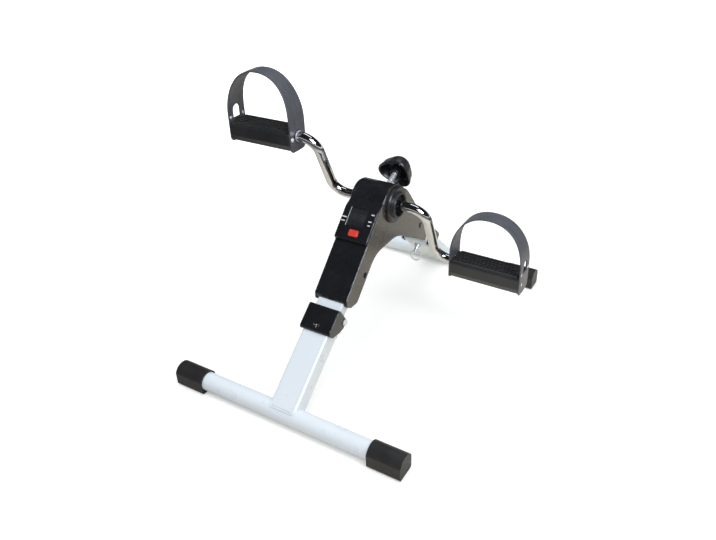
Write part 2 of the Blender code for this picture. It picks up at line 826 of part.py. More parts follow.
def make_ring(name, holder):
    """Pull ring hanging straight down from its own origin."""
    path = []
    for k in range(ROUND_MEDIUM):
        angle = 2 * math.pi * k / ROUND_MEDIUM
        path.append((RING_RADIUS * math.sin(angle), 0, RING_RADIUS * (math.cos(angle) - 1)))
    ring = bent_rod(path, RING_WIRE, sides=6, closed=True)
    return finish(ring, name, steel_look(), holder)


# Main frame, level and height from the axle
def hinge_numbers(front):
    """Lean of the leg, and level and drop of its hinge pin from the axle."""
    if front:
        return FRONT_LEAN, FRONT_HINGE_LEVEL, FRONT_HINGE_DROP
    return REAR_LEAN, REAR_HINGE_LEVEL, REAR_HINGE_DROP


def hinge_to_axle(above, t, front):
    """Level and height from the axle of a point that is given from the hinge pin."""
    lean, hinge_level, hinge_drop = hinge_numbers(front)
    out = t - PIVOT_T
    level = hinge_level - above * math.sin(lean) + out * math.cos(lean)
    height = above * math.cos(lean) + out * math.sin(lean) - hinge_drop
    return (-level, height) if front else (level, height)


def pivot_place(front):
    level, height = hinge_to_axle(0, PIVOT_T, front)
    return Vector((0, AXLE_Y + level, AXLE_HEIGHT + height))


def leg_turn(front):
    return (-FRONT_LEAN, 0, 0) if front else (-REAR_LEAN, 0, math.pi)


def leg_matrix(front):
    """From a leg frame to the axle frame."""
    place = pivot_place(front) - Vector((0, AXLE_Y, AXLE_HEIGHT))
    turn = Matrix.Rotation(leg_turn(front)[0], 4, "X")
    if not front:
        turn = Matrix.Rotation(math.pi, 4, "Z") @ turn
    return Matrix.Translation(place) @ turn


def tongue_side():
    """Side outline of the tongue under the stub, in the leg frame."""
    front = inward(STUB_DEPTH / 2)
    back = inward(-STUB_DEPTH / 2)
    tail_back = inward(TAIL_BACK_T)
    top = STUB_ABOVE_PIVOT + STUB_LAP
    return rounded([
        (front, top, 0),
        (front, -TAIL_TAPER, TAIL_EDGE),
        (inward(TAIL_FRONT_T), -TAIL_END, TAIL_EDGE),
        (tail_back, -TAIL_END, TAIL_EDGE / 2),
        (tail_back, -TONGUE_SHOULDER, 0),
        (back, TONGUE_SHOULDER, 0),
        (back, top, 0),
    ])


def hinge_bracket(front):
    """Channel with a tongue that carries the leg pivot, in the axle frame."""
    half_t = TONGUE_WIDTH / 2
    half_s = STUB_WIDTH / 2
    front_y = inward(STUB_DEPTH / 2)
    back_y = inward(-STUB_DEPTH / 2)
    tongue = slab(tongue_side(), -half_t, half_t)
    knuckle = rod(TONGUE_KNUCKLE, -half_t, half_t, segments=ROUND_MEDIUM)
    stub = box((-half_s, front_y, STUB_ABOVE_PIVOT), (half_s, back_y, STUB_TOP))
    soften_uprights(stub, STUB_CORNER, 2)
    join(tongue, knuckle, stub)
    inner = half_s - STUB_WALL
    channel_low = (-inner, front_y + STUB_WALL, STUB_ABOVE_PIVOT + STUB_FLOOR)
    channel = box(channel_low, (inner, back_y + CUT_OVERRUN, STUB_TOP + CUT_OVERRUN))
    pivot = rod(PIVOT_RADIUS + GAP, -half_s * 2, half_s * 2, segments=ROUND_SMALL)
    deep = inward(TAIL_BACK_T) - LOCK_TRAVEL - LOCK_HOLE_SPARE
    spot = (0, -LOCK_BELOW_PIVOT)
    lock = rod(LOCK_RADIUS + GAP, deep, back_y + CUT_OVERRUN, axis="Y", centre=spot, segments=ROUND_SMALL)
    cut(tongue, channel, pivot, lock)
    tongue.data.transform(leg_matrix(front))
    return tongue


def plate_outline():
    """Side plate of the main frame, from the axle: it runs from one stub over the axle to the other."""
    outer_t = STUB_DEPTH / 2 - PLATE_INSET
    inner_t = PLATE_INSET * 3 - STUB_DEPTH / 2
    return rounded([
        (*hinge_to_axle(FRONT_PLATE_END, outer_t, True), PLATE_CORNER),
        (-PLATE_TOP_HALF, PLATE_TOP, PLATE_CORNER * 3),
        (PLATE_TOP_HALF, PLATE_TOP, PLATE_CORNER * 3),
        (*hinge_to_axle(REAR_PLATE_END, outer_t, False), PLATE_CORNER),
        (*hinge_to_axle(REAR_PLATE_END, inner_t, False), PLATE_CORNER),
        (*PLATE_ARCH_REAR, PLATE_ARCH_RADIUS),
        (*PLATE_ARCH_FRONT, PLATE_ARCH_RADIUS),
        (*hinge_to_axle(*FRONT_PLATE_HEEL, True), PLATE_CORNER * 2),
        (*hinge_to_axle(FRONT_PLATE_END, inner_t, True), PLATE_CORNER),
    ])


def frame_side(side):
    """Plate on one side of the main frame, with its bearing housing and the holes for the shell bosses."""
    wide = SHELL_HALF_WIDTH * 2
    plate_outer = PLATE_INNER + PLATE_THICKNESS
    low, high = sorted((side * PLATE_INNER, side * plate_outer))
    plate = slab(plate_outline(), low, high)
    low, high = sorted((side * (plate_outer - HOUSING_LAP), side * (PLATE_INNER + HOUSING_LENGTH)))
    join(plate, rod(HOUSING_RADIUS, low, high, segments=ROUND_LARGE))
    cut(plate, rod(BEARING_RADIUS + GAP, -wide, wide, segments=ROUND_LARGE))
    for place in SHELL_SCREWS.values():
        cut(plate, rod(BOSS_RADIUS + GAP, -wide, wide, centre=place, segments=ROUND_SMALL))
    return plate


def make_main_frame(holder):
    frame = hinge_bracket(True)
    join(frame, hinge_bracket(False), frame_side(-1), frame_side(1))
    return finish(frame, "main_frame", frame_look(), holder)


# Body shell
def plane_crossing(angle_a, offset_a, angle_b, offset_b):
    """Point where two planes meet, each given by the angle of its normal and its distance from the axle."""
    a = Vector(polar(1.0, angle_a))
    b = Vector(polar(1.0, angle_b))
    det = a.x * b.y - a.y * b.x
    return (offset_a * b.y - a.y * offset_b) / det, (a.x * offset_b - offset_a * b.x) / det


def face_point(s, t):
    """Level and height from the axle of a point given up the front face and out from it."""
    along = polar(s, FACE_ANGLE)
    out = polar(t, FACE_ANGLE + math.pi / 2)
    return along[0] + out[0], along[1] + out[1]


def shell_corners():
    """Corners of the body seen from the side, from the axle."""
    face_normal = FACE_ANGLE + math.pi / 2
    return [
        (*plane_crossing(face_normal, FACE_OFFSET, BACK_NORMAL, BACK_OFFSET), TOP_RADIUS),
        (*plane_crossing(BACK_NORMAL, BACK_OFFSET, REAR_NORMAL, REAR_OFFSET), BACK_RADIUS),
        (*hinge_to_axle(*SHELL_REAR_OUTER, False), SHELL_END_CORNER),
        (*hinge_to_axle(*SHELL_REAR_INNER, False), SHELL_END_CORNER),
        (*ARCH_REAR, ARCH_REAR_RADIUS),
        (*ARCH_FRONT, ARCH_FRONT_RADIUS),
        (*hinge_to_axle(*SHELL_FRONT_HEEL, True), SHELL_END_CORNER),
        (*hinge_to_axle(*SHELL_FRONT_INNER, True), SHELL_END_CORNER * 1.5),
        (*hinge_to_axle(*SHELL_FRONT_OUTER, True), SHELL_END_CORNER),
        (*face_point(FACE_LOW_S, FACE_OFFSET), SHELL_END_CORNER / 2),
    ]


def stub_passage(front):
    """Cut for the stub where it leaves the shell, in the axle frame."""
    half = STUB_WIDTH / 2 + STUB_ROOM
    front_y = inward(STUB_DEPTH / 2 + STUB_ROOM)
    back_y = inward(-STUB_DEPTH / 2 - STUB_ROOM)
    passage = box((-half, front_y, 0), (half, back_y, STUB_TOP + STUB_ROOM))
    passage.data.transform(leg_matrix(front))
    return passage


def ring_notch(front):
    """Cut in the heel of the shell: the pull ring swings through it as the leg folds."""
    tip = ring_hole_y() + 2 * RING_RADIUS + RING_WIRE
    reach = math.hypot(tip, LOCK_BELOW_PIVOT) + RING_ROOM
    half = RING_RADIUS + RING_WIRE + RING_ROOM
    notch = rod(reach, -half, half, segments=ROUND_LARGE)
    cut(notch, box((-2 * half, -2 * reach, -2 * reach), (2 * half, inward(0), 2 * reach)))
    notch.data.transform(leg_matrix(front))
    return notch


def make_shell_half(side, holder):
    outer = SHELL_HALF_WIDTH
    wide = outer * 1.5
    corners = shell_corners()
    half = slab(rounded(corners), -outer, outer)
    soften(half, SHELL_ROUND, 3, math.radians(60))
    cut(half, slab(rounded(inset(corners, SHELL_WALL)), -outer + SHELL_WALL, outer - SHELL_WALL))
    boss_end = outer - SHELL_WALL / 2
    for place in SHELL_SCREWS.values():
        join(half, rod(BOSS_RADIUS, -boss_end, boss_end, centre=place, segments=ROUND_SMALL))
    reach = FRONT_REACH
    low, high = sorted((side * GAP / 2, -side * wide))
    other = box((low, -reach, -reach), (high, reach, reach))
    cut(half, other, stub_passage(True), stub_passage(False), ring_notch(True), ring_notch(False))
    low, high = sorted((side * PLATE_INNER, side * wide))
    cut(half, rod(HUB_RING_RADIUS - HUB_RING_WALL, low, high, segments=ROUND_LARGE))
    for place in SHELL_SCREWS.values():
        low, high = (-CUT_OVERRUN, wide) if side > 0 else (-SCREW_DEPTH - GAP, CUT_OVERRUN)
        cut(half, rod(SCREW_SHANK_RADIUS + GAP, low, high, centre=place, segments=ROUND_SMALL))
        if side > 0:
            seat = outer - SCREW_RECESS_DEPTH
            cut(half, rod(SCREW_RECESS_RADIUS, seat, wide, centre=place, segments=ROUND_SMALL))
    cut(half, pod_opening(), stem_passage())
    name = "body_shell_right" if side > 0 else "body_shell_left"
    return finish(half, name, body_look(), holder)


def face_matrix():
    """From the display frame (x, s, t) to the axle frame."""
    return Matrix.Rotation(FACE_ANGLE, 4, "X")


def pod_opening():
    """Window through the front face behind the display pod."""
    low_s, high_s = BOARD_S
    half = BOARD_HALF_WIDTH + OPENING_ROOM
    low_t = FACE_OFFSET - SHELL_WALL - CUT_OVERRUN
    high_t = FACE_OFFSET + CUT_OVERRUN
    opening = box((-half, low_s - OPENING_ROOM, low_t), (half, high_s + OPENING_ROOM, high_t))
    opening.data.transform(face_matrix())
    return opening


def tension_matrix():
    return Matrix.Rotation(TENSION_ANGLE - math.pi / 2, 4, "X")


def stem_passage():
    passage = rod(STEM_RADIUS + STEM_ROOM, stem_start(), KNOB_RIM, axis="Z", segments=ROUND_SMALL)
    passage.data.transform(tension_matrix())
    return passage


def make_shell_screw(name, place, holder):
    seat = SHELL_HALF_WIDTH - SCREW_RECESS_DEPTH + GAP
    top = seat + SCREW_HEAD_HEIGHT
    screw = rod(SCREW_HEAD_RADIUS, seat, top, centre=place, segments=ROUND_SMALL)
    soften(screw, SCREW_EDGE)
    shank = rod(SCREW_SHANK_RADIUS, -SCREW_DEPTH, seat + SCREW_EDGE, centre=place, segments=ROUND_TINY)
    join(screw, shank)
    arm = SCREW_HEAD_RADIUS * DRIVE_SHARE
    y, z = place
    floor = top - DRIVE_DEPTH
    past = top + CUT_OVERRUN
    cut(screw, box((floor, y - arm, z - DRIVE_HALF), (past, y + arm, z + DRIVE_HALF)))
    cut(screw, box((floor, y - DRIVE_HALF, z - arm), (past, y + DRIVE_HALF, z + arm)))
    return finish(screw, name, steel_look(), holder)


# Display pod, built in the display frame (x, s, t)
def pod_corners():
    """Side outline of the display pod in the display frame, as (s, t)."""
    return [
        (POD_LOW_S, FACE_OFFSET + GAP, 0),
        (POD_HIGH_S + POD_TOE, FACE_OFFSET + GAP, 0),
        (POD_HIGH_S, FACE_OFFSET + POD_EDGE, POD_EDGE),
        (POD_HIGH_S - POD_SLOPE, POD_TOP_T, POD_SLOPE),
        (POD_LOW_S + POD_EDGE, POD_TOP_T, POD_EDGE * 0.8),
    ]


def make_pod(holder):
    half = SHELL_HALF_WIDTH
    pod = slab(rounded(pod_corners()), -half, half)
    soften(pod, POD_EDGE, 3, math.radians(50))
    inner = half - SHELL_ROUND
    ceiling = POD_TOP_T - POD_WALL
    low_t = FACE_OFFSET - CUT_OVERRUN
    hollow = box((-inner, POD_LOW_S + POD_WALL * 2, low_t), (inner, WINDOW_S[1] + LENS_LAP, ceiling))
    past = POD_TOP_T + CUT_OVERRUN
    window_low = (WINDOW_X[0] - GAP, WINDOW_S[0] - GAP, FACE_OFFSET)
    window = box(window_low, (WINDOW_X[1] + GAP, WINDOW_S[1] + GAP, past))
    button_low = (BUTTON_X[0] - GAP, BUTTON_S[0] - GAP, FACE_OFFSET)
    button = box(button_low, (BUTTON_X[1] + GAP, BUTTON_S[1] + GAP, past))
    soften_uprights(button, BUTTON_CORNER + GAP, 3)
    cut(pod, hollow, window, button)
    return finish(pod, "display_pod", body_look(), holder)


def make_window(holder):
    low_corner = (WINDOW_X[0], WINDOW_S[0], POD_TOP_T - POD_WALL)
    lens = box(low_corner, (WINDOW_X[1], WINDOW_S[1], POD_TOP_T - WINDOW_RECESS))
    return finish(lens, "display_window", screen_look(), holder)


def make_lcd(holder):
    top = POD_TOP_T - POD_WALL - GAP
    low = BOARD_T + BOARD_THICKNESS + GAP
    low_corner = (WINDOW_X[0] - LCD_LAP, WINDOW_S[0] - LCD_LAP, low)
    lcd = box(low_corner, (WINDOW_X[1] + LCD_LAP, WINDOW_S[1] + LCD_LAP, top))
    soften(lcd, SCREW_EDGE, 1)
    return finish(lcd, "lcd_module", screen_look(), holder)


def make_board(holder):
    top = BOARD_T + BOARD_THICKNESS
    board = box((-BOARD_HALF_WIDTH, BOARD_S[0], BOARD_T), (BOARD_HALF_WIDTH, BOARD_S[1], top))
    return finish(board, "display_board", board_look(), holder)


def make_cell(holder):
    high = BOARD_T - GAP
    middle = (0, sum(BOARD_S) / 2)
    cell = rod(CELL_RADIUS, high - CELL_THICKNESS, high, axis="Z", centre=middle, segments=ROUND_SMALL)
    soften(cell, SCREW_EDGE, 1)
    return finish(cell, "button_cell", steel_look(), holder)


def make_button(holder):
    base = POD_TOP_T - POD_WALL - BUTTON_TRAVEL * 2
    low_x, high_x = BUTTON_X
    low_s, high_s = BUTTON_S
    cap = box((low_x, low_s, base), (high_x, high_s, POD_TOP_T + BUTTON_PROUD))
    soften_uprights(cap, BUTTON_CORNER, 3)
    soften(cap, BUTTON_EDGE, 2, math.radians(60))
    lap = BUTTON_FLANGE
    flange_top = base + BUTTON_FLANGE_THICKNESS
    flange = box((low_x - lap, low_s - lap, base), (high_x + lap, high_s + lap, flange_top))
    stem_low = BOARD_T + BOARD_THICKNESS + BUTTON_TRAVEL + GAP
    middle = (sum(BUTTON_X) / 2, sum(BUTTON_S) / 2)
    stem = rod(BUTTON_STEM_RADIUS, stem_low, flange_top, axis="Z", centre=middle, segments=ROUND_SMALL)
    join(cap, flange, stem)
    return finish(cap, "mode_button", button_look(), holder)


# Turning parts round the axle
def make_bearing(side, holder):
    low = PLATE_INNER + GAP
    high = low + BEARING_WIDTH
    bore = ROD_RADIUS + GAP
    profile = [
        (low, bore),
        (low, BEARING_RADIUS),
        (high, BEARING_RADIUS),
        (high, BEARING_RADIUS - BEARING_RACE),
        (high - BEARING_RECESS, BEARING_RADIUS - BEARING_RACE),
        (high - BEARING_RECESS, bore + BEARING_RACE),
        (high, bore + BEARING_RACE),
        (high, bore),
    ]
    bearing = turned([(side * x, r) for x, r in profile])
    return finish(bearing, "bearing_right" if side > 0 else "bearing_left", steel_look(), holder)


def drum_hub_radius():
    return ROD_RADIUS + GAP + DRUM_HUB_WALL


def make_drum(holder):
    half = DRUM_WIDTH / 2
    drum = rod(DRUM_RADIUS, -half, half, segments=ROUND_LARGE)
    soften(drum, SCREW_EDGE, 1)
    for side in (-1, 1):
        low, high = sorted((side * (half - DRUM_RECESS), side * (half + CUT_OVERRUN)))
        ring = rod(DRUM_RADIUS - DRUM_LIP, low, high, segments=ROUND_LARGE)
        cut(ring, rod(drum_hub_radius(), low - CUT_OVERRUN, high + CUT_OVERRUN, segments=ROUND_MEDIUM))
        cut(drum, ring)
    cut(drum, rod(ROD_RADIUS + GAP, -half * 2, half * 2, segments=ROUND_MEDIUM))
    return finish(drum, "friction_drum", steel_look(), holder)


def make_magnet(holder):
    """Magnet in the middle of the recess in the drum's right-hand end."""
    face = DRUM_WIDTH / 2 - DRUM_RECESS + GAP
    middle = (DRUM_RADIUS - DRUM_LIP + drum_hub_radius()) / 2
    magnet = rod(MAGNET_RADIUS, face, face + MAGNET_LENGTH, centre=(0, -middle), segments=ROUND_SMALL)
    return finish(magnet, "drum_magnet", steel_look(), holder)


def make_reed(holder):
    """Sensor on the right-hand frame plate, just under the bearing housing."""
    x = PLATE_INNER + PLATE_THICKNESS + GAP
    wide, long, tall = REED_SIZE
    top = -(HOUSING_RADIUS + REED_ROOM)
    reed = box((x, -long / 2, top - tall), (x + wide, long / 2, top))
    soften(reed, SCREW_EDGE, 1)
    return finish(reed, "reed_sensor", cap_look(), holder)


def make_hub_cover(side, holder):
    base = SHELL_HALF_WIDTH + GAP
    flange = base + HUB_FLANGE
    ring = base + HUB_RING_OUT
    floor = base + HUB_FLOOR
    bore = ROD_RADIUS + HUB_BORE_ROOM
    ring_in = HUB_RING_RADIUS - HUB_RING_WALL
    edge = HUB_EDGE
    profile = [
        (base, bore),
        (base, HUB_RADIUS),
        (flange - edge * 3, HUB_RADIUS),
        (flange - edge, HUB_RADIUS - edge),
        (flange, HUB_RADIUS - edge * 3),
        (flange, HUB_RING_RADIUS),
        (ring - edge, HUB_RING_RADIUS - edge / 2),
        (ring, HUB_RING_RADIUS - edge * 1.5),
        (ring, ring_in + edge),
        (ring - edge, ring_in),
        (floor, ring_in - edge),
        (floor, bore),
    ]
    cover = turned([(side * x, r) for x, r in profile])
    low_y, high_y = bore + HUB_SLOT_MARGIN, ring_in - edge - HUB_SLOT_MARGIN
    for k in range(HUB_SLOTS):
        low, high = sorted((side * (base - CUT_OVERRUN), side * (ring + CUT_OVERRUN)))
        slot = box((low, low_y, -HUB_SLOT_WIDTH / 2), (high, high_y, HUB_SLOT_WIDTH / 2))
        slot.data.transform(Matrix.Rotation(math.pi / 2 + 2 * math.pi * k / HUB_SLOTS, 4, "X"))
        cut(cover, slot)
    return finish(cover, "hub_cover_right" if side > 0 else "hub_cover_left", body_look(), holder)


def arc_path(centre, start, turn_from, turn_to, steps=7):
    """Points of a bend in the (x, radial) plane."""
    points = []
    for k in range(steps + 1):
        angle = turn_from + (turn_to - turn_from) * k / steps
        points.append((centre[0] + start * math.cos(angle), centre[1] + start * math.sin(angle)))
    return points


def crank_path():
    """Centre line in (x, radial) from the middle of the drum to the shoulder."""
    bend = CRANK_BEND
    path = [(GAP, 0.0)]
    path += arc_path((CRANK_ARM_X - bend, bend), bend, math.radians(-90), 0.0)
    path += arc_path((CRANK_ARM_X + bend, CRANK_THROW - bend), bend, math.pi, math.radians(90))
    path.append((SHOULDER_X, CRANK_THROW))
    return path


def make_crank(side, holder):
    angle = CRANK_ANGLE if side > 0 else CRANK_ANGLE + math.pi
    turn_y, turn_z = polar(1.0, angle)
    path = [(side * x, r * turn_y, r * turn_z) for x, r in crank_path()]
    crank = bent_rod(path, ROD_RADIUS, sides=16)
    low, high = sorted((side * (SHOULDER_X - SPINDLE_LAP), side * SPINDLE_END_X))
    spindle = rod(SPINDLE_RADIUS, low, high, centre=polar(CRANK_THROW, angle), segments=ROUND_SMALL)
    join(crank, spindle)
    return finish(crank, "crank_right" if side > 0 else "crank_left", chrome_look(), holder)


# Pedals, x across, y and z from the spindle axis, built for the right-hand side
def place_side(body, side):
    """The piece as built for the right-hand side, or its mirror image."""
    if side > 0:
        return body
    mesh = body.data
    mesh.transform(Matrix.Scale(-1, 4, (1, 0, 0)))
    mesh.flip_normals()
    return body


def pedal_section():
    """Cross-section of the pedal body, from the spindle."""
    return [
        (-PEDAL_HALF_DEPTH, PEDAL_TOP, PEDAL_EDGE),
        (PEDAL_HALF_DEPTH, PEDAL_TOP, PEDAL_EDGE),
        (PEDAL_HALF_DEPTH, PEDAL_SKIRT, PEDAL_EDGE),
        (PEDAL_BOTTOM_HALF, PEDAL_BOTTOM, PEDAL_EDGE),
        (-PEDAL_BOTTOM_HALF, PEDAL_BOTTOM, PEDAL_EDGE),
        (-PEDAL_HALF_DEPTH, PEDAL_SKIRT, PEDAL_EDGE),
    ]


def pedal_span():
    """Inner and outer end of the pedal body between the feet of its hoop."""
    return PEDAL_INNER_X + HOOP_THICKNESS + GAP, PEDAL_OUTER_X - HOOP_THICKNESS - GAP


def tread_rib(k):
    """One rib along the top of the pedal body."""
    low, high = pedal_span()
    first = -PEDAL_HALF_DEPTH + PEDAL_EDGE + TREAD_RIB_WIDTH / 2
    y = first - 2 * first * k / (TREAD_RIBS - 1)
    half = TREAD_RIB_WIDTH / 2
    return box(
        (low + TREAD_RIB_INSET, y - half, PEDAL_TOP - PEDAL_WALL / 2),
        (high - TREAD_RIB_INSET, y + half, PEDAL_TOP + TREAD_RIB_HEIGHT),
    )


def make_pedal(side, holder):
    low, high = pedal_span()
    middle = (low + high) / 2
    pedal = slab(rounded(pedal_section()), low, high)
    hollow = slab(rounded(inset(pedal_section(), PEDAL_WALL)), low + PEDAL_WALL, high - PEDAL_WALL)
    cut(pedal, hollow)
    join(pedal, rod(PEDAL_TUBE_RADIUS, low + GAP, high - GAP, segments=ROUND_MEDIUM))
    for end in (-1, 1):
        inside = middle + end * (WEIGHT_LENGTH / 2 + GAP)
        low_x, high_x = sorted((inside, inside + end * WEB_THICKNESS))
        join(pedal, slab(rounded(inset(pedal_section(), PEDAL_WALL / 2)), low_x, high_x))
    for k in range(TREAD_RIBS):
        join(pedal, tread_rib(k))
    nut_room = SPINDLE_END_X - NUT_THICKNESS - NUT_ROOM
    past = high + CUT_OVERRUN
    cut(pedal, rod(SPINDLE_RADIUS + GAP, low - CUT_OVERRUN, past, segments=ROUND_MEDIUM))
    collar_radius = NUT_RADIUS + NUT_ROOM + NUT_COLLAR
    collar = rod(collar_radius, nut_room - NUT_COLLAR, high - GAP, segments=ROUND_MEDIUM)
    join(pedal, collar)
    bore = rod(SPINDLE_RADIUS + GAP, nut_room - NUT_COLLAR * 2, past, segments=ROUND_MEDIUM)
    pocket = rod(NUT_RADIUS + NUT_ROOM, nut_room, past, segments=ROUND_MEDIUM)
    floor = PEDAL_BOTTOM + PEDAL_WALL
    half_x = WEIGHT_LENGTH / 2 - WEIGHT_LEDGE
    half_y = WEIGHT_WIDTH / 2 - WEIGHT_LEDGE
    mouth_low = (middle - half_x, -half_y, PEDAL_BOTTOM - CUT_OVERRUN)
    mouth = box(mouth_low, (middle + half_x, half_y, floor + PEDAL_WALL / 2))
    cut(pedal, bore, pocket, mouth)
    for end in (low, high):
        spot = ((PEDAL_HALF_DEPTH + PEDAL_TUBE_RADIUS) / 2 - VENT_RADIUS / 2, 0.0)
        vent = rod(VENT_RADIUS, end - PEDAL_WALL * 2, end + PEDAL_WALL * 2, centre=spot, segments=ROUND_TINY)
        cut(pedal, vent)
    pedal = place_side(pedal, side)
    return finish(pedal, "pedal_right" if side > 0 else "pedal_left", cap_look(), holder)


def make_weight(side, holder):
    low, high = pedal_span()
    middle = (low + high) / 2
    floor = PEDAL_BOTTOM + PEDAL_WALL + GAP
    half = WEIGHT_LENGTH / 2
    low_corner = (middle - half, -WEIGHT_WIDTH / 2, floor)
    weight = box(low_corner, (middle + half, WEIGHT_WIDTH / 2, floor + WEIGHT_HEIGHT))
    soften(weight, SCREW_EDGE * 2, 1)
    weight = place_side(weight, side)
    name = "pedal_weight_right" if side > 0 else "pedal_weight_left"
    return finish(weight, name, steel_look(), holder)


def hoop_edge(half_width, top, steps=28):
    """Points of the arch from the outer foot over the top to the inner foot."""
    middle = (PEDAL_INNER_X + PEDAL_OUTER_X) / 2
    points = []
    for k in range(steps + 1):
        angle = math.pi * k / steps
        c = math.cos(angle)
        x = middle + half_width * math.copysign(abs(c) ** (2 / HOOP_POWER), c)
        z = HOOP_BASE + (top - HOOP_BASE) * abs(math.sin(angle)) ** (2 / HOOP_POWER)
        points.append((x, z))
    return points


def hoop_width_at(z):
    share = max(0.0, min(1.0, (z - HOOP_BASE) / (HOOP_TOP - HOOP_BASE)))
    eased = share * share * (3 - 2 * share)
    return HOOP_FOOT_WIDTH + (HOOP_TOP_WIDTH - HOOP_FOOT_WIDTH) * eased


def hoop_slot():
    """Long hole through the outer foot."""
    radius = HOOP_SLOT_RADIUS
    ends = []
    for turn, y in ((-90, HOOP_SLOT_HALF_LENGTH - radius), (90, radius - HOOP_SLOT_HALF_LENGTH)):
        for k in range(9):
            u, v = polar(radius, math.radians(turn + 22.5 * k))
            ends.append((y + u, HOOP_SLOT_CENTRE + v))
    return slab(ends, PEDAL_OUTER_X - HOOP_THICKNESS * 3, PEDAL_OUTER_X + HOOP_THICKNESS)


def make_hoop(side, holder):
    half = (PEDAL_OUTER_X - PEDAL_INNER_X) / 2
    middle = (PEDAL_INNER_X + PEDAL_OUTER_X) / 2
    outer = hoop_edge(half, HOOP_TOP)
    inner = hoop_edge(half - HOOP_THICKNESS, HOOP_TOP - HOOP_THICKNESS)
    inner_half = half - HOOP_THICKNESS
    outline = [(middle + half, HOOP_FOOT_BOTTOM), *outer, (middle - half, HOOP_FOOT_BOTTOM)]
    outline.append((middle - inner_half, HOOP_FOOT_BOTTOM))
    outline += inner[::-1]
    outline.append((middle + inner_half, HOOP_FOOT_BOTTOM))
    hoop = slab(outline, -half, half, axis="Y")
    for vertex in hoop.data.vertices:
        vertex.co.y = math.copysign(hoop_width_at(vertex.co.z) / 2, vertex.co.y)
    for end in (-1, 1):
        for edge in (-1, 1):
            cut(hoop, foot_corner(middle + end * (half - HOOP_THICKNESS / 2), edge))
    deep = HOOP_THICKNESS * 3
    hole_radius = WASHER_RADIUS + WASHER_ROOM
    cut(hoop, rod(hole_radius, PEDAL_INNER_X - deep, PEDAL_INNER_X + deep, segments=ROUND_MEDIUM))
    cut(hoop, hoop_slot())
    hoop = place_side(hoop, side)
    return finish(hoop, "foot_hoop_right" if side > 0 else "foot_hoop_left", strap_look(), holder)


def foot_corner(x, edge):
    """Cutter that rounds one lower corner of a hoop foot."""
    radius = HOOP_FOOT_CORNER
    half = HOOP_FOOT_WIDTH / 2
    deep = HOOP_THICKNESS * 2
    low, high = sorted((edge * (half - radius), edge * (half + CUT_OVERRUN)))
    low_corner = (x - deep, low, HOOP_FOOT_BOTTOM - CUT_OVERRUN)
    block = box(low_corner, (x + deep, high, HOOP_FOOT_BOTTOM + radius))
    spot = (edge * (half - radius), HOOP_FOOT_BOTTOM + radius)
    return cut(block, rod(radius, x - deep * 2, x + deep * 2, centre=spot, segments=ROUND_MEDIUM))


def make_washer(side, holder, angle):
    low = SHOULDER_X + GAP
    high = low + WASHER_THICKNESS
    bore = SPINDLE_RADIUS + GAP
    profile = [(low, bore), (low, WASHER_RADIUS), (high, WASHER_RADIUS), (high, bore)]
    washer = turned([(side * x, r) for x, r in profile], segments=ROUND_MEDIUM)
    y, z = polar(CRANK_THROW, angle)
    washer.data.transform(Matrix.Translation((0, y, z)))
    name = "spindle_washer_right" if side > 0 else "spindle_washer_left"
    return finish(washer, name, steel_look(), holder)


def make_nut(side, holder, angle):
    high = SPINDLE_END_X - SPINDLE_PAST_NUT
    low = SPINDLE_END_X - NUT_THICKNESS
    low, high = sorted((side * low, side * high))
    nut = rod(NUT_RADIUS, low, high, segments=6)
    cut(nut, rod(SPINDLE_RADIUS + GAP, low - CUT_OVERRUN, high + CUT_OVERRUN, segments=ROUND_SMALL))
    y, z = polar(CRANK_THROW, angle)
    nut.data.transform(Matrix.Translation((0, y, z)))
    return finish(nut, "spindle_nut_right" if side > 0 else "spindle_nut_left", steel_look(), holder)


# Brake and tension screw, z along the screw from the axle
def pad_inner():
    return DRUM_RADIUS + BRAKE_PLAY


def shoe_inner():
    return pad_inner() + PAD_THICKNESS + GAP


def stem_start():
    """Inner end of the tension screw, on the back of the brake shoe."""
    return shoe_inner() + SHOE_THICKNESS + GAP


def arc_block(inner, outer, half_arc, half_width):
    """Curved plate across the x axis, centred on the screw's line."""
    steps = 12
    angles = [math.pi / 2 - half_arc + 2 * half_arc * k / steps for k in range(steps + 1)]
    points = [polar(outer, angle) for angle in angles]
    points += [polar(inner, angle) for angle in reversed(angles)]
    return slab(points, -half_width, half_width)


def make_brake_pad(holder):
    pad = arc_block(pad_inner(), pad_inner() + PAD_THICKNESS, SHOE_HALF_ARC, SHOE_HALF_WIDTH)
    return finish(pad, "brake_pad", pad_look(), holder)


def make_brake_shoe(holder):
    shoe = arc_block(shoe_inner(), shoe_inner() + SHOE_THICKNESS, SHOE_HALF_ARC, SHOE_HALF_WIDTH)
    return finish(shoe, "brake_shoe", steel_look(), holder)


def make_tension_nut(holder):
    low = shoe_inner() + SHOE_THICKNESS + NUT_PLATE_ROOM
    high = low + NUT_PLATE_THICKNESS
    half = NUT_PLATE_HALF
    nut = box((-NUT_PLATE_HALF_WIDTH, -half, low), (NUT_PLATE_HALF_WIDTH, half, high))
    bore = rod(STEM_RADIUS + GAP, low - CUT_OVERRUN, high + CUT_OVERRUN, axis="Z", segments=ROUND_SMALL)
    return finish(cut(nut, bore), "tension_nut", steel_look(), holder)


def make_tension_screw(holder):
    screw = rod(STEM_RADIUS, stem_start(), KNOB_RIM + STEM_IN_KNOB, axis="Z", segments=ROUND_SMALL)
    soften(screw, SCREW_EDGE, 1, math.radians(60))
    return finish(screw, "tension_screw", chrome_look(), holder)


def knob_outline(shrink=0.0):
    """Three-lobed outline of the knob."""
    points = []
    for k in range(KNOB_STEPS):
        angle = 2 * math.pi * k / KNOB_STEPS
        radius = KNOB_RADIUS + KNOB_LOBE * math.cos(KNOB_LOBES * (angle - KNOB_LOBE_AT)) - shrink
        points.append(polar(radius, angle))
    return points


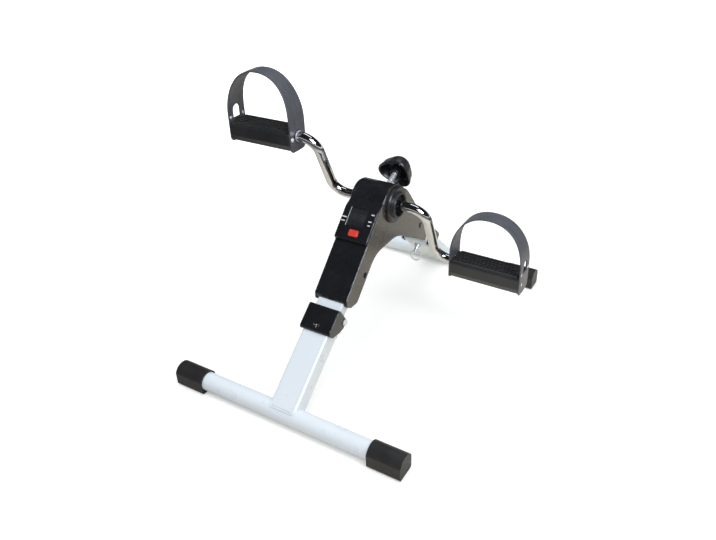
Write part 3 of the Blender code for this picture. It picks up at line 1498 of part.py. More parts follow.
def make_knob(holder):
    """Hollow cup with a boss for the screw; its side leans in toward a smaller, softly rounded top."""
    knob = slab(knob_outline(), KNOB_RIM, KNOB_TOP, axis="Z")
    shape = bmesh.new()
    shape.from_mesh(knob.data)
    top_edges = [e for e in shape.edges if min(v.co.z for v in e.verts) > KNOB_TOP - GAP]
    rim = [e for e in top_edges if min(abs(f.normal.z) for f in e.link_faces) < 0.5]
    for vertex in {v for e in rim for v in e.verts}:
        vertex.co.x *= KNOB_TOP_SHARE
        vertex.co.y *= KNOB_TOP_SHARE
    bmesh.ops.bevel(shape, geom=rim, offset=KNOB_SOFT_EDGE, segments=3, profile=0.5, affect="EDGES")
    shape.to_mesh(knob.data)
    shape.free()
    low = KNOB_RIM - CUT_OVERRUN
    hollow = slab(knob_outline(KNOB_WALL), low, KNOB_RIM + KNOB_HOLLOW, axis="Z")
    for vertex in hollow.data.vertices:
        if vertex.co.z > KNOB_RIM:
            share = 1 - (1 - KNOB_TOP_SHARE) * KNOB_HOLLOW / (KNOB_TOP - KNOB_RIM)
            vertex.co.x *= share
            vertex.co.y *= share
    boss = rod(KNOB_BOSS_RADIUS, low - CUT_OVERRUN, KNOB_TOP, axis="Z", segments=ROUND_MEDIUM)
    cut(hollow, boss)
    bore_end = KNOB_RIM + STEM_IN_KNOB + GAP
    bore = rod(STEM_RADIUS + GAP, low, bore_end, axis="Z", segments=ROUND_SMALL)
    cut(knob, hollow, bore)
    return finish(knob, "tension_knob", body_look(), holder)


# Assemblies
def build_leg_assembly(front):
    end = "front" if front else "rear"
    pivot_s = FRONT_PIVOT_S if front else REAR_PIVOT_S
    leg_frame = frame_empty(end + "_leg_pivot", pivot_place(front), leg_turn(front))
    upright = (-leg_turn(front)[0], 0, 0)
    bar_frame = frame_empty(end + "_bar_axis", (0, PIVOT_T, -pivot_s), upright, leg_frame)
    make_bar(end + "_bar", bar_frame)
    for side in (-1, 1):
        on_left = (side < 0) == front
        make_cap(f"{end}_cap_{'left' if on_left else 'right'}", side, bar_frame)
    make_leg(end + "_leg", pivot_s, leg_frame)
    make_cover(end + "_hinge_cover", leg_frame)
    make_cover_screw(end + "_cover_screw", leg_frame)
    make_pivot_pin(end + "_pivot_pin", leg_frame)
    make_bushing(end + "_pin_bushing", leg_frame)
    make_lock_pin(end + "_lock_pin", leg_frame)
    hole = (0, ring_hole_y(), -LOCK_BELOW_PIVOT)
    ring_frame = frame_empty(end + "_ring_axis", hole, upright, leg_frame)
    make_ring(end + "_pull_ring", ring_frame)


def build_centre():
    axle = frame_empty("axle_frame", (0, AXLE_Y, AXLE_HEIGHT))
    make_main_frame(axle)
    for side in (-1, 1):
        make_shell_half(side, axle)
        make_bearing(side, axle)
        make_hub_cover(side, axle)
    for name, place in SHELL_SCREWS.items():
        make_shell_screw("shell_screw_" + name, place, axle)
    make_reed(axle)
    display = frame_empty("display_frame", (0, AXLE_Y, AXLE_HEIGHT), (FACE_ANGLE, 0, 0))
    for make in (make_pod, make_window, make_lcd, make_board, make_cell, make_button):
        make(display)


def build_crank_set():
    axle = frame_empty("crank_axis", (0, AXLE_Y, AXLE_HEIGHT))
    make_drum(axle)
    make_magnet(axle)
    for side in (-1, 1):
        angle = CRANK_ANGLE if side > 0 else CRANK_ANGLE + math.pi
        make_crank(side, axle)
        make_washer(side, axle, angle)
        make_nut(side, axle, angle)
        y, z = polar(CRANK_THROW, angle)
        name = "pedal_axis_right" if side > 0 else "pedal_axis_left"
        spindle = frame_empty(name, (0, y, z), parent=axle)
        make_pedal(side, spindle)
        make_weight(side, spindle)
        make_hoop(side, spindle)


def build_brake():
    feed = frame_empty("tension_axis", (0, AXLE_Y, AXLE_HEIGHT), (TENSION_ANGLE - math.pi / 2, 0, 0))
    for make in (make_brake_pad, make_brake_shoe, make_tension_nut, make_tension_screw, make_knob):
        make(feed)


def gather():
    """Put every piece in one collection named for the object."""
    group = bpy.data.collections.new("mini_exercise_bike")
    bpy.context.scene.collection.children.link(group)
    for body in list(bpy.context.scene.collection.objects):
        group.objects.link(body)
        bpy.context.scene.collection.objects.unlink(body)


def main():
    clear_scene()
    build_leg_assembly(True)
    build_leg_assembly(False)
    build_centre()
    build_crank_set()
    build_brake()
    gather()


main()
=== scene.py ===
"""Looks of the mini exercise bike: camera, light, floor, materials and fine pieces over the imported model.

Metres, in the frame of the model: +Z up, +X to the right-hand pedal, -Y to the display end.
"""
import json
import math

import bmesh
import bpy
from mathutils import Matrix, Vector


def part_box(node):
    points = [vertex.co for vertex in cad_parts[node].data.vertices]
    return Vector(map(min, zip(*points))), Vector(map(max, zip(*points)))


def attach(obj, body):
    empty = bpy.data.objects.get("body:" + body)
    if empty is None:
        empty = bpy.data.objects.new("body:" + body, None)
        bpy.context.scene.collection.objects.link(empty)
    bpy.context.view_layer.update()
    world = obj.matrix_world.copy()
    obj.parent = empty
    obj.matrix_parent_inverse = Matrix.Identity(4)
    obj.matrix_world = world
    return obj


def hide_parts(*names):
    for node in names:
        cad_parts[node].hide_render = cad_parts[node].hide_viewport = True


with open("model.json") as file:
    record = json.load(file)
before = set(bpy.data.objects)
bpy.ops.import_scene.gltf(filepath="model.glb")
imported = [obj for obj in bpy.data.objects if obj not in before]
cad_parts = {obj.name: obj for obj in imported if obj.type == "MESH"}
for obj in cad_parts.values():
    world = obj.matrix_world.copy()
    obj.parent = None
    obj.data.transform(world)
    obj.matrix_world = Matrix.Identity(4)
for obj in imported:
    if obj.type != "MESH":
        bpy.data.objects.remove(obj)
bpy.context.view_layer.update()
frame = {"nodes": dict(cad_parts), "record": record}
joints = {joint["name"]: joint for joint in frame["record"]["behaviour"]["joints"]}

# Camera
CAMERA_AT = (0.46409, -0.77726, 0.68756)
CAMERA_YAW = math.radians(32.241)
CAMERA_PITCH = math.radians(32.290)
CAMERA_ROLL = math.radians(-2.206)
CAMERA_LENS = 34.203
CAMERA_SENSOR = 36.0
CAMERA_REACH = 30.0

# Studio
PURE_WHITE = (1.0, 1.0, 1.0, 1.0)
FLOOR_HALF = 4.0
FLOOR_ROUGHNESS = 0.9
FLOOR_SHINE = 0.1
FLOOR_WHITE = (0.93, 0.93, 0.93)
FLOOR_CREAM = (0.90, 0.85, 0.75)
FLOOR_FAR = (0.10, 0.10, 0.11)
FLOOR_SHEET = (0.12, 0.20, 0.0)     # middle of the pale sheet under the bike
SHEET_NEAR = 0.38
SHEET_FAR = 0.72
FLOOR_LIFT = 0.26                   # glow of the floor to the camera under the bike
FLOOR_LIFT_FAR = 1.0                # and well away from it
LIFT_NEAR = 0.55
LIFT_FAR = 1.30
AMBIENT_LIGHT = 0.62
COVE_TOP = (0.0, 0.09)              # between these upward slopes the cove darkens into the ceiling
COVE_LIGHT = 1.0
CEILING_LIGHT = 0.015

# Lamps: name, place, size, power, colour, and whether it gives highlights only
LAMP_AIM = (0.0, 0.0, 0.2)
LAMPS = (
    ("overhead_lamp", (0.2, -0.3, 2.6), (2.6, 2.6), 32.0, (0.95, 0.98, 1.0), False),
    ("side_lamp", (2.0, -0.5, 2.0), (0.8, 1.5), 14.0, (1.0, 1.0, 1.0), False),
    ("edge_highlight", (1.64, -0.92, 1.56), (1.1, 1.1), 85.0, (0.84, 0.91, 1.0), True),
    ("top_highlight", (0.1, 0.9, 2.4), (1.6, 0.5), 6.0, (0.80, 0.88, 1.0), True),
)

# Surface detail
BEVEL_SAMPLES = 6
EDGE_SHARP = 0.86               # true and rounded normal agree this much on an edge
EDGE_FLAT = 0.995               # and this much away from it
SIDE_FROM = 0.70                # a face counts as sideways from this much of its normal
SIDE_FULL = 0.95
# Grain of the edge patches: scuffed edges on most parts, painted shade on hoop edges, painted highlight on
# pedal ribs
EDGE_GRAIN_SCALE = 190.0
EDGE_GRAIN_DETAIL = 5.0
EDGE_GRAIN_FROM = 0.40
EDGE_GRAIN_FULL = 0.70
NOISE_LOW = 0.25                # noise mostly lies between these two
NOISE_HIGH = 0.75

# Places on the model
AXLE = Vector(joints["crank_spin"]["pos_m"])
FACE_ANGLE = math.radians(43.9)     # slope of the front face
POD_TOP_T = 0.0395                  # top of the display pod, square to that face from the axle
BAR_RADIUS = 0.0140
LEG_HALF_WIDTH = 0.02165
LEG_HALF_DEPTH = 0.01385
LEG_CORNER = 0.0040

# Cranks
CRANK_RADIUS = 0.0075
CRANK_ARM_X = 0.0783
CRANK_BEND = 0.0250
BEND_STEPS = 18
SHOULDER_X = 0.1053
SPINDLE_RADIUS = 0.0060
SPINDLE_END_X = 0.2165
CRANK_SIDES = 36
SPINDLE_SIDES = 28

# Foot hoops, x across and z up from the spindle
PEDAL_INNER_X = 0.1074
PEDAL_OUTER_X = 0.2226
HOOP_INSET = 0.0007             # its faces stand this far inside the ends of the pedal
HOOP_THICKNESS = 0.0019
HOOP_TOP = 0.0907
HOOP_BASE = 0.0200
HOOP_POWER = 2.2
HOOP_FOOT_WIDTH = 0.0384
HOOP_TOP_WIDTH = 0.0285
HOOP_FOOT_BOTTOM = -0.0220
HOOP_FOOT_CORNER = 0.0080
HOOP_EDGE = 0.0005
HOOP_CROWN = 0.0003
HOOP_STEPS = 72
CORNER_STEPS = 6
HOOP_HOLE_RADIUS = 0.0093
HOLE_SIDES = 36
SLOT_HALF_WIDTH = 0.0078
SLOT_LOW = 0.0125
SLOT_HIGH = 0.0320
SLOT_STEPS = 12

# Knob, along its screw from the axle
KNOB_RIM = 0.0565
KNOB_TOP = 0.0775
KNOB_RADIUS = 0.0268
KNOB_LOBE = 0.0030
KNOB_LOBES = 3
KNOB_SIDES = 90
KNOB_CROWN_STEPS = 9
KNOB_LOBE_AT = math.radians(60)
KNOB_CROWN = 0.50               # the top starts to round off at this share of the height
KNOB_CROWN_SHARE = 0.91         # the wall leans in to this share of the outline
KNOB_TOP_SHARE = 0.56
KNOB_WALL_SHARE = 0.86
KNOB_SKIRT = 0.0030             # the outline is widest this far above the rim
KNOB_EDGE = 0.0010              # softened edges of the rim and the boss
KNOB_EDGE_SHARE = 0.99          # shares of the outline down the rim and across its face
KNOB_RIM_SHARE = 0.96
KNOB_TAPER = 0.03               # share by which the hollow narrows from its mouth
KNOB_FLOOR_TAPER = 0.10         # and down to its floor
KNOB_FLOOR_ROUND = 0.0020
KNOB_HOLLOW = 0.0130
KNOB_BOSS_RADIUS = 0.0085
STEM_RADIUS = 0.0040

# Fine pieces
SMOOTH_ANGLE = math.radians(40)
WELD_RADIUS = 0.0016
WELD_RIPPLE = 0.0030            # spacing of the ripples along a weld
WELD_SWELL = 0.16               # how much a ripple thickens the bead
WELD_SAMPLES = 4                # points along a ripple
WELD_CORNER_STEPS = 3
WELD_SIDES = 10
THREAD_PITCH = 0.00125
THREAD_RIDGE = 0.00022
THREAD_FROM = 0.0370            # along the screw from the axle
THREAD_TO = 0.0640
THREAD_STEPS = 20               # points in a turn
THREAD_SIDES = 5
RIVET_RADIUS = 0.0026
RIVET_HEIGHT = 0.0012
RIVET_SHALLOW = 0.0006          # outer heads stay just inside the end of the pedal
DOME_RINGS = 6
DOME_SIDES = 20
FOOT_RIVETS = ((-0.0140, 0.0145), (0.0140, 0.0145), (-0.0090, -0.0050))
PLATE_RIVETS = ((-0.0140, -0.0020), (0.0140, -0.0020))
PLATE_RIVET_SHARE = 1.3         # rivets on the crank side are this much larger
SCREEN_LEVEL = 0.0387           # of the figures, just under the top of the pod
PRINT_HEIGHT = 0.00012
PRINT_NIP = 0.22                # corners of a printed patch are cut by this share of its narrow side
DIGIT_HEIGHT = 0.0088
DIGIT_WIDTH = 0.0044
DIGIT_STROKE = 0.0009
DIGIT_COUNT = 4
DIGIT_STEP = 0.0062
DIGIT_MIDDLE_GAP = 0.0012       # extra room between the two pairs of figures
DIGIT_FROM = (-0.0128, -0.0478)

# Printed marks and a painted highlight, from corner to corner, across and up the front face: dashes left,
# dashes right, and the window line, a painted highlight of the window's bezel
DISPLAY_MARKS_AND_HIGHLIGHT = (
    ((-0.0270, -0.0478), (-0.0185, -0.0460)),
    ((-0.0262, -0.0538), (-0.0195, -0.0520)),
    ((0.0185, -0.0362), (0.0240, -0.0344)),
    ((0.0175, -0.0470), (0.0230, -0.0452)),
    ((0.0180, -0.0530), (0.0225, -0.0512)),
    # Painted highlight: the thin light line along the window's left edge
    ((-0.0168, -0.0590), (-0.0162, -0.0300)),
)


# Material building blocks
class Surface:
    """A node material under construction, with the shader's sockets close at hand."""

    def __init__(self, name, colour, roughness, metallic=0.0):
        self.material = bpy.data.materials.new(name)
        self.material.use_nodes = True
        self.nodes = self.material.node_tree.nodes
        self.links = self.material.node_tree.links
        self.shader = self.nodes["Principled BSDF"]
        self.set("Base Color", (*colour, 1.0))
        self.set("Roughness", roughness)
        self.set("Metallic", metallic)
        self.place = self.nodes.new("ShaderNodeTexCoord").outputs["Object"]
        self.normal = None

    def set(self, socket, value):
        self.shader.inputs[socket].default_value = value

    def join(self, output, socket):
        self.links.new(output, self.shader.inputs[socket])

    def math(self, operation, first, second):
        node = self.nodes.new("ShaderNodeMath")
        node.operation = operation
        for socket, value in zip(node.inputs, (first, second)):
            if isinstance(value, (int, float)):
                socket.default_value = value
            else:
                self.links.new(value, socket)
        return node.outputs["Value"]

    def stretched(self, scale):
        """Object coordinates, scaled by axis."""
        node = self.nodes.new("ShaderNodeMapping")
        node.inputs["Scale"].default_value = scale
        self.links.new(self.place, node.inputs["Vector"])
        return node.outputs["Vector"]

    def noise(self, scale, detail=3.0, place=None):
        node = self.nodes.new("ShaderNodeTexNoise")
        node.inputs["Scale"].default_value = scale
        node.inputs["Detail"].default_value = detail
        self.links.new(place or self.place, node.inputs["Vector"])
        return node.outputs["Fac"]

    def cells(self, scale):
        node = self.nodes.new("ShaderNodeTexVoronoi")
        node.inputs["Scale"].default_value = scale
        self.links.new(self.place, node.inputs["Vector"])
        return node.outputs["Distance"]

    def spread(self, value, low, high, from_low=NOISE_LOW, from_high=NOISE_HIGH):
        """Map a value to a new range."""
        node = self.nodes.new("ShaderNodeMapRange")
        node.inputs["From Min"].default_value = from_low
        node.inputs["From Max"].default_value = from_high
        node.inputs["To Min"].default_value = low
        node.inputs["To Max"].default_value = high
        self.links.new(value, node.inputs["Value"])
        return node.outputs["Result"]

    def blend(self, factor, first, second):
        """Mix two colours by a factor."""
        node = self.nodes.new("ShaderNodeMix")
        node.data_type = "RGBA"
        self.links.new(factor, node.inputs["Factor"])
        sockets = [socket for socket in node.inputs if socket.type == "RGBA"]
        for socket, colour in zip(sockets, (first, second)):
            if isinstance(colour, tuple):
                socket.default_value = (*colour, 1.0)
            else:
                self.links.new(colour, socket)
        return [socket for socket in node.outputs if socket.type == "RGBA"][0]

    def tones(self, scale, detail, dark, light):
        """Colour that wanders between two tones."""
        return self.blend(self.spread(self.noise(scale, detail), 0.0, 1.0), dark, light)

    def bump(self, value, distance, strength):
        """Add a layer of relief, so many metres high."""
        node = self.nodes.new("ShaderNodeBump")
        node.inputs["Strength"].default_value = strength
        node.inputs["Distance"].default_value = distance
        self.links.new(value, node.inputs["Height"])
        if self.normal is not None:
            self.links.new(self.normal, node.inputs["Normal"])
        self.normal = node.outputs["Normal"]
        self.join(self.normal, "Normal")

    def round_edges(self, radius):
        """Shade sharp edges as if rounded, and return how much an edge lies under each point."""
        bevel = self.nodes.new("ShaderNodeBevel")
        bevel.samples = BEVEL_SAMPLES
        bevel.inputs["Radius"].default_value = radius
        geometry = self.nodes.new("ShaderNodeNewGeometry")
        self.normal = bevel.outputs["Normal"]
        self.join(self.normal, "Normal")
        aligned = self.nodes.new("ShaderNodeVectorMath")
        aligned.operation = "DOT_PRODUCT"
        self.links.new(bevel.outputs["Normal"], aligned.inputs[0])
        self.links.new(geometry.outputs["Normal"], aligned.inputs[1])
        return self.spread(aligned.outputs["Value"], 1.0, 0.0, EDGE_SHARP, EDGE_FLAT)

    def away_from_seam(self, near, far):
        """0 on the middle plane of the model, 1 well to either side of it."""
        return self.spread(self.math("ABSOLUTE", self.across(), 0.0), 0.0, 1.0, near, far)

    def across(self):
        """Place from left to right."""
        split = self.nodes.new("ShaderNodeSeparateXYZ")
        self.links.new(self.place, split.inputs["Vector"])
        return split.outputs["X"]

    def keep_flat(self, round_share):
        """Use the rounded normal only where the share is 1."""
        geometry = self.nodes.new("ShaderNodeNewGeometry")
        mix = self.nodes.new("ShaderNodeMix")
        mix.data_type = "VECTOR"
        self.links.new(round_share, mix.inputs["Factor"])
        sockets = [socket for socket in mix.inputs if socket.type == "VECTOR" and socket.name in "AB"]
        self.links.new(geometry.outputs["Normal"], sockets[0])
        self.links.new(self.normal, sockets[1])
        self.normal = [socket for socket in mix.outputs if socket.type == "VECTOR"][0]
        self.join(self.normal, "Normal")

    def sideways(self):
        """0 on faces that look forward, up or back, 1 on those that look left or right."""
        geometry = self.nodes.new("ShaderNodeNewGeometry")
        split = self.nodes.new("ShaderNodeSeparateXYZ")
        self.links.new(geometry.outputs["Normal"], split.inputs["Vector"])
        size = self.math("ABSOLUTE", split.outputs["X"], 0.0)
        return self.spread(size, 0.0, 1.0, SIDE_FROM, SIDE_FULL)

    def edge_wear_and_painted_light(self, edge, colour, edge_tone, amount, least=0.0, place=None):
        """Blend the colour of the edges into another, broken up by noise: rubbed scuffs on most parts,
        painted shade on the hoops, and scuffs with a painted highlight along the pedal ribs.
        """
        grain = self.noise(EDGE_GRAIN_SCALE, EDGE_GRAIN_DETAIL, place=place)
        patchy = self.spread(grain, least, amount, EDGE_GRAIN_FROM, EDGE_GRAIN_FULL)
        return self.blend(self.math("MULTIPLY", edge, patchy), colour, edge_tone)


# Materials
def powder_coat():
    look = Surface("white_powder_coat", (0.81, 0.88, 0.955), 0.30)
    edge = look.round_edges(0.0012)
    tone = look.tones(14.0, 4.0, (0.795, 0.875, 0.950), (0.820, 0.890, 0.960))
    look.join(look.edge_wear_and_painted_light(edge, tone, (0.88, 0.91, 0.95), 0.5), "Base Color")
    look.join(look.spread(look.noise(60.0), 0.24, 0.38), "Roughness")
    look.bump(look.noise(520.0, 3.0), 0.00003, 0.3)
    look.set("Coat Weight", 0.3)
    look.set("Coat Roughness", 0.12)
    return look.material


def body_plastic():
    """Moulded black shell, its sides painted a lighter, warmer taupe than its front: a painted reflection of
    the pale floor.
    """
    look = Surface("black_body_plastic", (0.012, 0.012, 0.014), 0.26)
    edge = look.round_edges(0.0036)
    clear = look.away_from_seam(0.003, 0.005)
    look.keep_flat(clear)
    tone = look.tones(30.0, 5.0, (0.008, 0.009, 0.012), (0.014, 0.015, 0.018))
    # Painted reflection: faces that look left or right turn a lighter warm taupe, patchy with noise
    painted_side_reflection = look.math("MULTIPLY", look.sideways(), look.spread(look.noise(9.0, 3.0), 0.55, 1.0))
    tone = look.blend(painted_side_reflection, tone, (0.085, 0.074, 0.061))
    rubbed = look.math("MULTIPLY", edge, clear)
    look.join(look.edge_wear_and_painted_light(rubbed, tone, (0.045, 0.047, 0.054), 0.4), "Base Color")
    look.join(look.spread(look.noise(120.0, 4.0), 0.19, 0.29), "Roughness")
    look.bump(look.noise(420.0, 2.0), 0.00001, 0.2)
    look.set("Specular IOR Level", 0.85)
    return look.material


def gloss_plastic():
    look = Surface("black_gloss_plastic", (0.009, 0.010, 0.013), 0.17)
    edge = look.round_edges(0.0030)
    tone = look.tones(22.0, 4.0, (0.007, 0.008, 0.011), (0.014, 0.015, 0.019))
    look.join(look.edge_wear_and_painted_light(edge, tone, (0.060, 0.062, 0.070), 0.5), "Base Color")
    look.join(look.spread(look.noise(90.0, 5.0), 0.15, 0.27), "Roughness")
    look.bump(look.noise(45.0, 2.0), 0.00010, 0.20)
    look.set("Coat Weight", 0.3)
    look.set("Coat Roughness", 0.08)
    return look.material


def hub_plastic():
    look = Surface("black_hub_plastic", (0.016, 0.017, 0.021), 0.26)
    edge = look.round_edges(0.0030)
    tone = look.tones(50.0, 4.0, (0.012, 0.013, 0.017), (0.022, 0.023, 0.028))
    look.join(look.edge_wear_and_painted_light(edge, tone, (0.075, 0.078, 0.088), 0.6), "Base Color")
    look.join(look.spread(look.noise(170.0, 4.0), 0.24, 0.38), "Roughness")
    look.bump(look.noise(600.0, 2.0), 0.00003, 0.4)
    return look.material


def knob_plastic():
    look = Surface("black_knob_plastic", (0.025, 0.026, 0.032), 0.30)
    edge = look.round_edges(0.0012)
    tone = look.tones(45.0, 4.0, (0.018, 0.019, 0.024), (0.034, 0.035, 0.043))
    look.join(look.edge_wear_and_painted_light(edge, tone, (0.080, 0.080, 0.085), 0.6), "Base Color")
    look.join(look.spread(look.noise(150.0, 4.0), 0.22, 0.36), "Roughness")
    look.bump(look.cells(1500.0), 0.00002, 0.3)
    return look.material


def cap_plastic():
    look = Surface("black_cap_plastic", (0.020, 0.020, 0.022), 0.42)
    edge = look.round_edges(0.0010)
    tone = look.tones(40.0, 4.0, (0.014, 0.014, 0.016), (0.028, 0.027, 0.028))
    look.join(look.edge_wear_and_painted_light(edge, tone, (0.085, 0.083, 0.080), 0.7), "Base Color")
    look.join(look.spread(look.noise(260.0, 3.0), 0.34, 0.52), "Roughness")
    look.bump(look.cells(1100.0), 0.00006, 0.5)
    return look.material


def pedal_plastic():
    look = Surface("black_pedal_plastic", (0.024, 0.025, 0.028), 0.34)
    edge = look.round_edges(0.0008)
    tone = look.tones(35.0, 5.0, (0.017, 0.018, 0.021), (0.034, 0.035, 0.039))
    # Pale streaks along the rib edges, always at least partly on: scuffed edges and in part a painted
    # highlight along the ribs
    along_ribs = look.stretched((0.1, 1.0, 1.0))
    rubbed = look.edge_wear_and_painted_light(edge, tone, (0.170, 0.170, 0.170), 1.0, 0.6, along_ribs)
    look.join(rubbed, "Base Color")
    look.join(look.spread(look.noise(220.0, 4.0), 0.28, 0.46), "Roughness")
    look.bump(look.noise(900.0, 2.0), 0.00003, 0.3)
    look.set("Specular IOR Level", 0.55)
    return look.material


def strap_plastic():
    """Moulded hoop: dark grey with a broad soft sheen, faint flow marks along it, and painted shade that
    darkens its edges almost to black.
    """
    look = Surface("dark_grey_plastic", (0.102, 0.108, 0.129), 0.38)
    edge = look.round_edges(0.0008)
    flow = look.spread(look.noise(60.0, 4.0, place=look.stretched((1.0, 5.0, 1.0))), 0.0, 1.0)
    tone = look.blend(flow, (0.082, 0.087, 0.104), (0.124, 0.132, 0.156))
    # Painted shade: the edges go almost black, for the dark border along them
    look.join(look.edge_wear_and_painted_light(edge, tone, (0.010, 0.010, 0.012), 0.9), "Base Color")
    look.join(look.spread(look.noise(180.0, 3.0), 0.32, 0.46), "Roughness")
    look.bump(look.cells(1600.0), 0.00003, 0.3)
    look.set("Specular IOR Level", 0.4)
    return look.material


def chrome():
    look = Surface("chrome", (0.70, 0.70, 0.71), 0.06, 1.0)
    tone = look.tones(25.0, 4.0, (0.66, 0.66, 0.67), (0.76, 0.76, 0.76))
    look.join(tone, "Base Color")
    look.join(look.spread(look.noise(140.0, 5.0), 0.04, 0.11), "Roughness")
    look.bump(look.noise(35.0, 2.0), 0.00003, 0.15)
    return look.material


def zinc_steel():
    look = Surface("plain_steel", (0.82, 0.84, 0.88), 0.30, 0.55)
    look.round_edges(0.0004)
    tone = look.tones(260.0, 4.0, (0.74, 0.77, 0.81), (0.90, 0.92, 0.95))
    look.join(tone, "Base Color")
    look.join(look.spread(look.noise(500.0, 3.0), 0.20, 0.38), "Roughness")
    look.bump(look.noise(1500.0, 2.0), 0.00003, 0.5)
    return look.material


def dark_steel():
    look = Surface("dark_steel", (0.36, 0.35, 0.33), 0.26, 1.0)
    tone = look.tones(120.0, 4.0, (0.28, 0.27, 0.25), (0.46, 0.45, 0.42))
    look.join(tone, "Base Color")
    look.join(look.spread(look.noise(400.0, 3.0), 0.20, 0.34), "Roughness")
    return look.material


def screen():
    """Dark glass of the switched-off display."""
    look = Surface("display_glass", (0.020, 0.021, 0.024), 0.10)
    tone = look.tones(30.0, 2.0, (0.017, 0.018, 0.021), (0.026, 0.027, 0.031))
    look.join(tone, "Base Color")
    look.join(look.spread(look.noise(200.0, 3.0), 0.07, 0.15), "Roughness")
    look.set("Coat Weight", 0.6)
    look.set("Coat Roughness", 0.03)
    return look.material


def red_plastic():
    look = Surface("red_button", (0.75, 0.045, 0.022), 0.32)
    look.round_edges(0.0006)
    tone = look.tones(120.0, 3.0, (0.68, 0.032, 0.016), (0.84, 0.062, 0.030))
    look.join(tone, "Base Color")
    look.join(look.spread(look.noise(500.0, 2.0), 0.26, 0.40), "Roughness")
    look.bump(look.noise(900.0, 2.0), 0.00004, 0.4)
    return look.material


def circuit_green():
    look = Surface("circuit_board", (0.02, 0.12, 0.05), 0.45)
    tone = look.blend(look.spread(look.cells(500.0), 0.0, 1.0), (0.015, 0.09, 0.035), (0.03, 0.16, 0.07))
    look.join(tone, "Base Color")
    look.join(look.spread(look.noise(300.0), 0.35, 0.55), "Roughness")
    return look.material


def felt():
    look = Surface("brake_lining", (0.12, 0.07, 0.04), 0.9)
    tone = look.tones(700.0, 5.0, (0.08, 0.045, 0.025), (0.17, 0.10, 0.06))
    look.join(tone, "Base Color")
    look.join(look.spread(look.noise(900.0, 3.0), 0.80, 0.98), "Roughness")
    look.bump(look.noise(1200.0, 4.0), 0.00015, 0.8)
    return look.material


def white_for_print_and_highlight():
    # Also the colour of the painted highlight line along the display window
    look = Surface("white_print_and_highlight", (0.70, 0.71, 0.72), 0.5)
    tone = look.tones(900.0, 3.0, (0.52, 0.53, 0.55), (0.82, 0.82, 0.82))
    look.join(tone, "Base Color")
    look.join(look.spread(look.noise(700.0), 0.42, 0.60), "Roughness")
    return look.material


def faint_segments():
    """Segments of the switched-off display, only just darker than what is behind them."""
    look = Surface("display_segments", (0.050, 0.051, 0.055), 0.2)
    tone = look.tones(300.0, 3.0, (0.040, 0.041, 0.045), (0.062, 0.063, 0.068))
    look.join(tone, "Base Color")
    look.join(look.spread(look.noise(400.0), 0.14, 0.26), "Roughness")
    return look.material


LOOKS = {
    powder_coat: ["main_frame", "front_leg", "rear_leg", "front_bar", "rear_bar"],
    body_plastic: ["body_shell_left", "body_shell_right"],
    gloss_plastic: ["display_pod", "front_hinge_cover", "rear_hinge_cover"],
    hub_plastic: ["hub_cover_left", "hub_cover_right"],
    knob_plastic: ["tension_knob"],
    cap_plastic: ["front_cap_left", "front_cap_right", "rear_cap_left", "rear_cap_right", "reed_sensor"],
    pedal_plastic: ["pedal_left", "pedal_right"],
    strap_plastic: ["foot_hoop_left", "foot_hoop_right"],
    chrome: ["crank_left", "crank_right"],
    zinc_steel: ["front_pivot_pin", "rear_pivot_pin", "front_lock_pin", "rear_lock_pin", "front_pull_ring",
                 "rear_pull_ring", "front_pin_bushing", "rear_pin_bushing", "spindle_nut_left",
                 "spindle_nut_right", "spindle_washer_left", "spindle_washer_right", "pedal_weight_left",
                 "pedal_weight_right", "friction_drum", "drum_magnet", "brake_shoe", "tension_nut",
                 "tension_screw", "button_cell", "bearing_left", "bearing_right"],
    dark_steel: ["shell_screw_front", "shell_screw_rear", "front_cover_screw", "rear_cover_screw"],
    screen: ["display_window", "lcd_module"],
    red_plastic: ["mode_button"],
    circuit_green: ["display_board"],
    felt: ["brake_pad"],
}


def dress():
    """Give every node its material, and return the materials by the function that makes them."""
    made = {}
    for make, names in LOOKS.items():
        look = make()
        made[make] = look
        for name in names:
            for slot in frame["nodes"][name].material_slots:
                slot.material = look
    return made


# Mesh helpers
def object_from(name, shape, look, smooth=True):
    """Object from a shape, with its material."""
    bmesh.ops.recalc_face_normals(shape, faces=shape.faces)
    mesh = bpy.data.meshes.new(name)
    shape.to_mesh(mesh)
    shape.free()
    shade(mesh, smooth)
    if look is not None:
        mesh.materials.append(look)
    piece = bpy.data.objects.new(name, mesh)
    bpy.context.scene.collection.objects.link(piece)
    return piece


def shade(mesh, smooth):
    """Smooth or flat faces, with sharp edges kept."""
    for face in mesh.polygons:
        face.use_smooth = smooth
    mesh.set_sharp_from_angle(angle=SMOOTH_ANGLE)


def piece_from(name, shape, look, body, smooth=True):
    """Object from a shape, riding on a body of the model."""
    piece = object_from(name, shape, look, smooth)
    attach(piece, body)
    return piece


def cut_out(piece, cutter):
    """Take one closed object out of another, and drop the cutter."""
    modifier = piece.modifiers.new("cut", "BOOLEAN")
    modifier.object = cutter
    modifier.solver = "EXACT"
    graph = bpy.context.evaluated_depsgraph_get()
    mesh = bpy.data.meshes.new_from_object(piece.evaluated_get(graph))
    piece.modifiers.clear()
    piece.data = mesh
    bpy.data.objects.remove(cutter)
    shade(mesh, True)


def full_turn(count):
    """Angles all the way round, in equal steps."""
    return [2 * math.pi * k / count for k in range(count)]


def loft(shape, loops, closed=False):
    """Skin over loops of points that all have the same count."""
    rings = [[shape.verts.new(point) for point in loop] for loop in loops]
    pairs = list(zip(rings, rings[1:]))
    if closed:
        pairs.append((rings[-1], rings[0]))
    count = len(rings[0])
    for first, second in pairs:
        for j in range(count):
            shape.faces.new((first[j], first[(j + 1) % count], second[(j + 1) % count], second[j]))
    if not closed:
        shape.faces.new(rings[0])
        shape.faces.new(rings[-1])


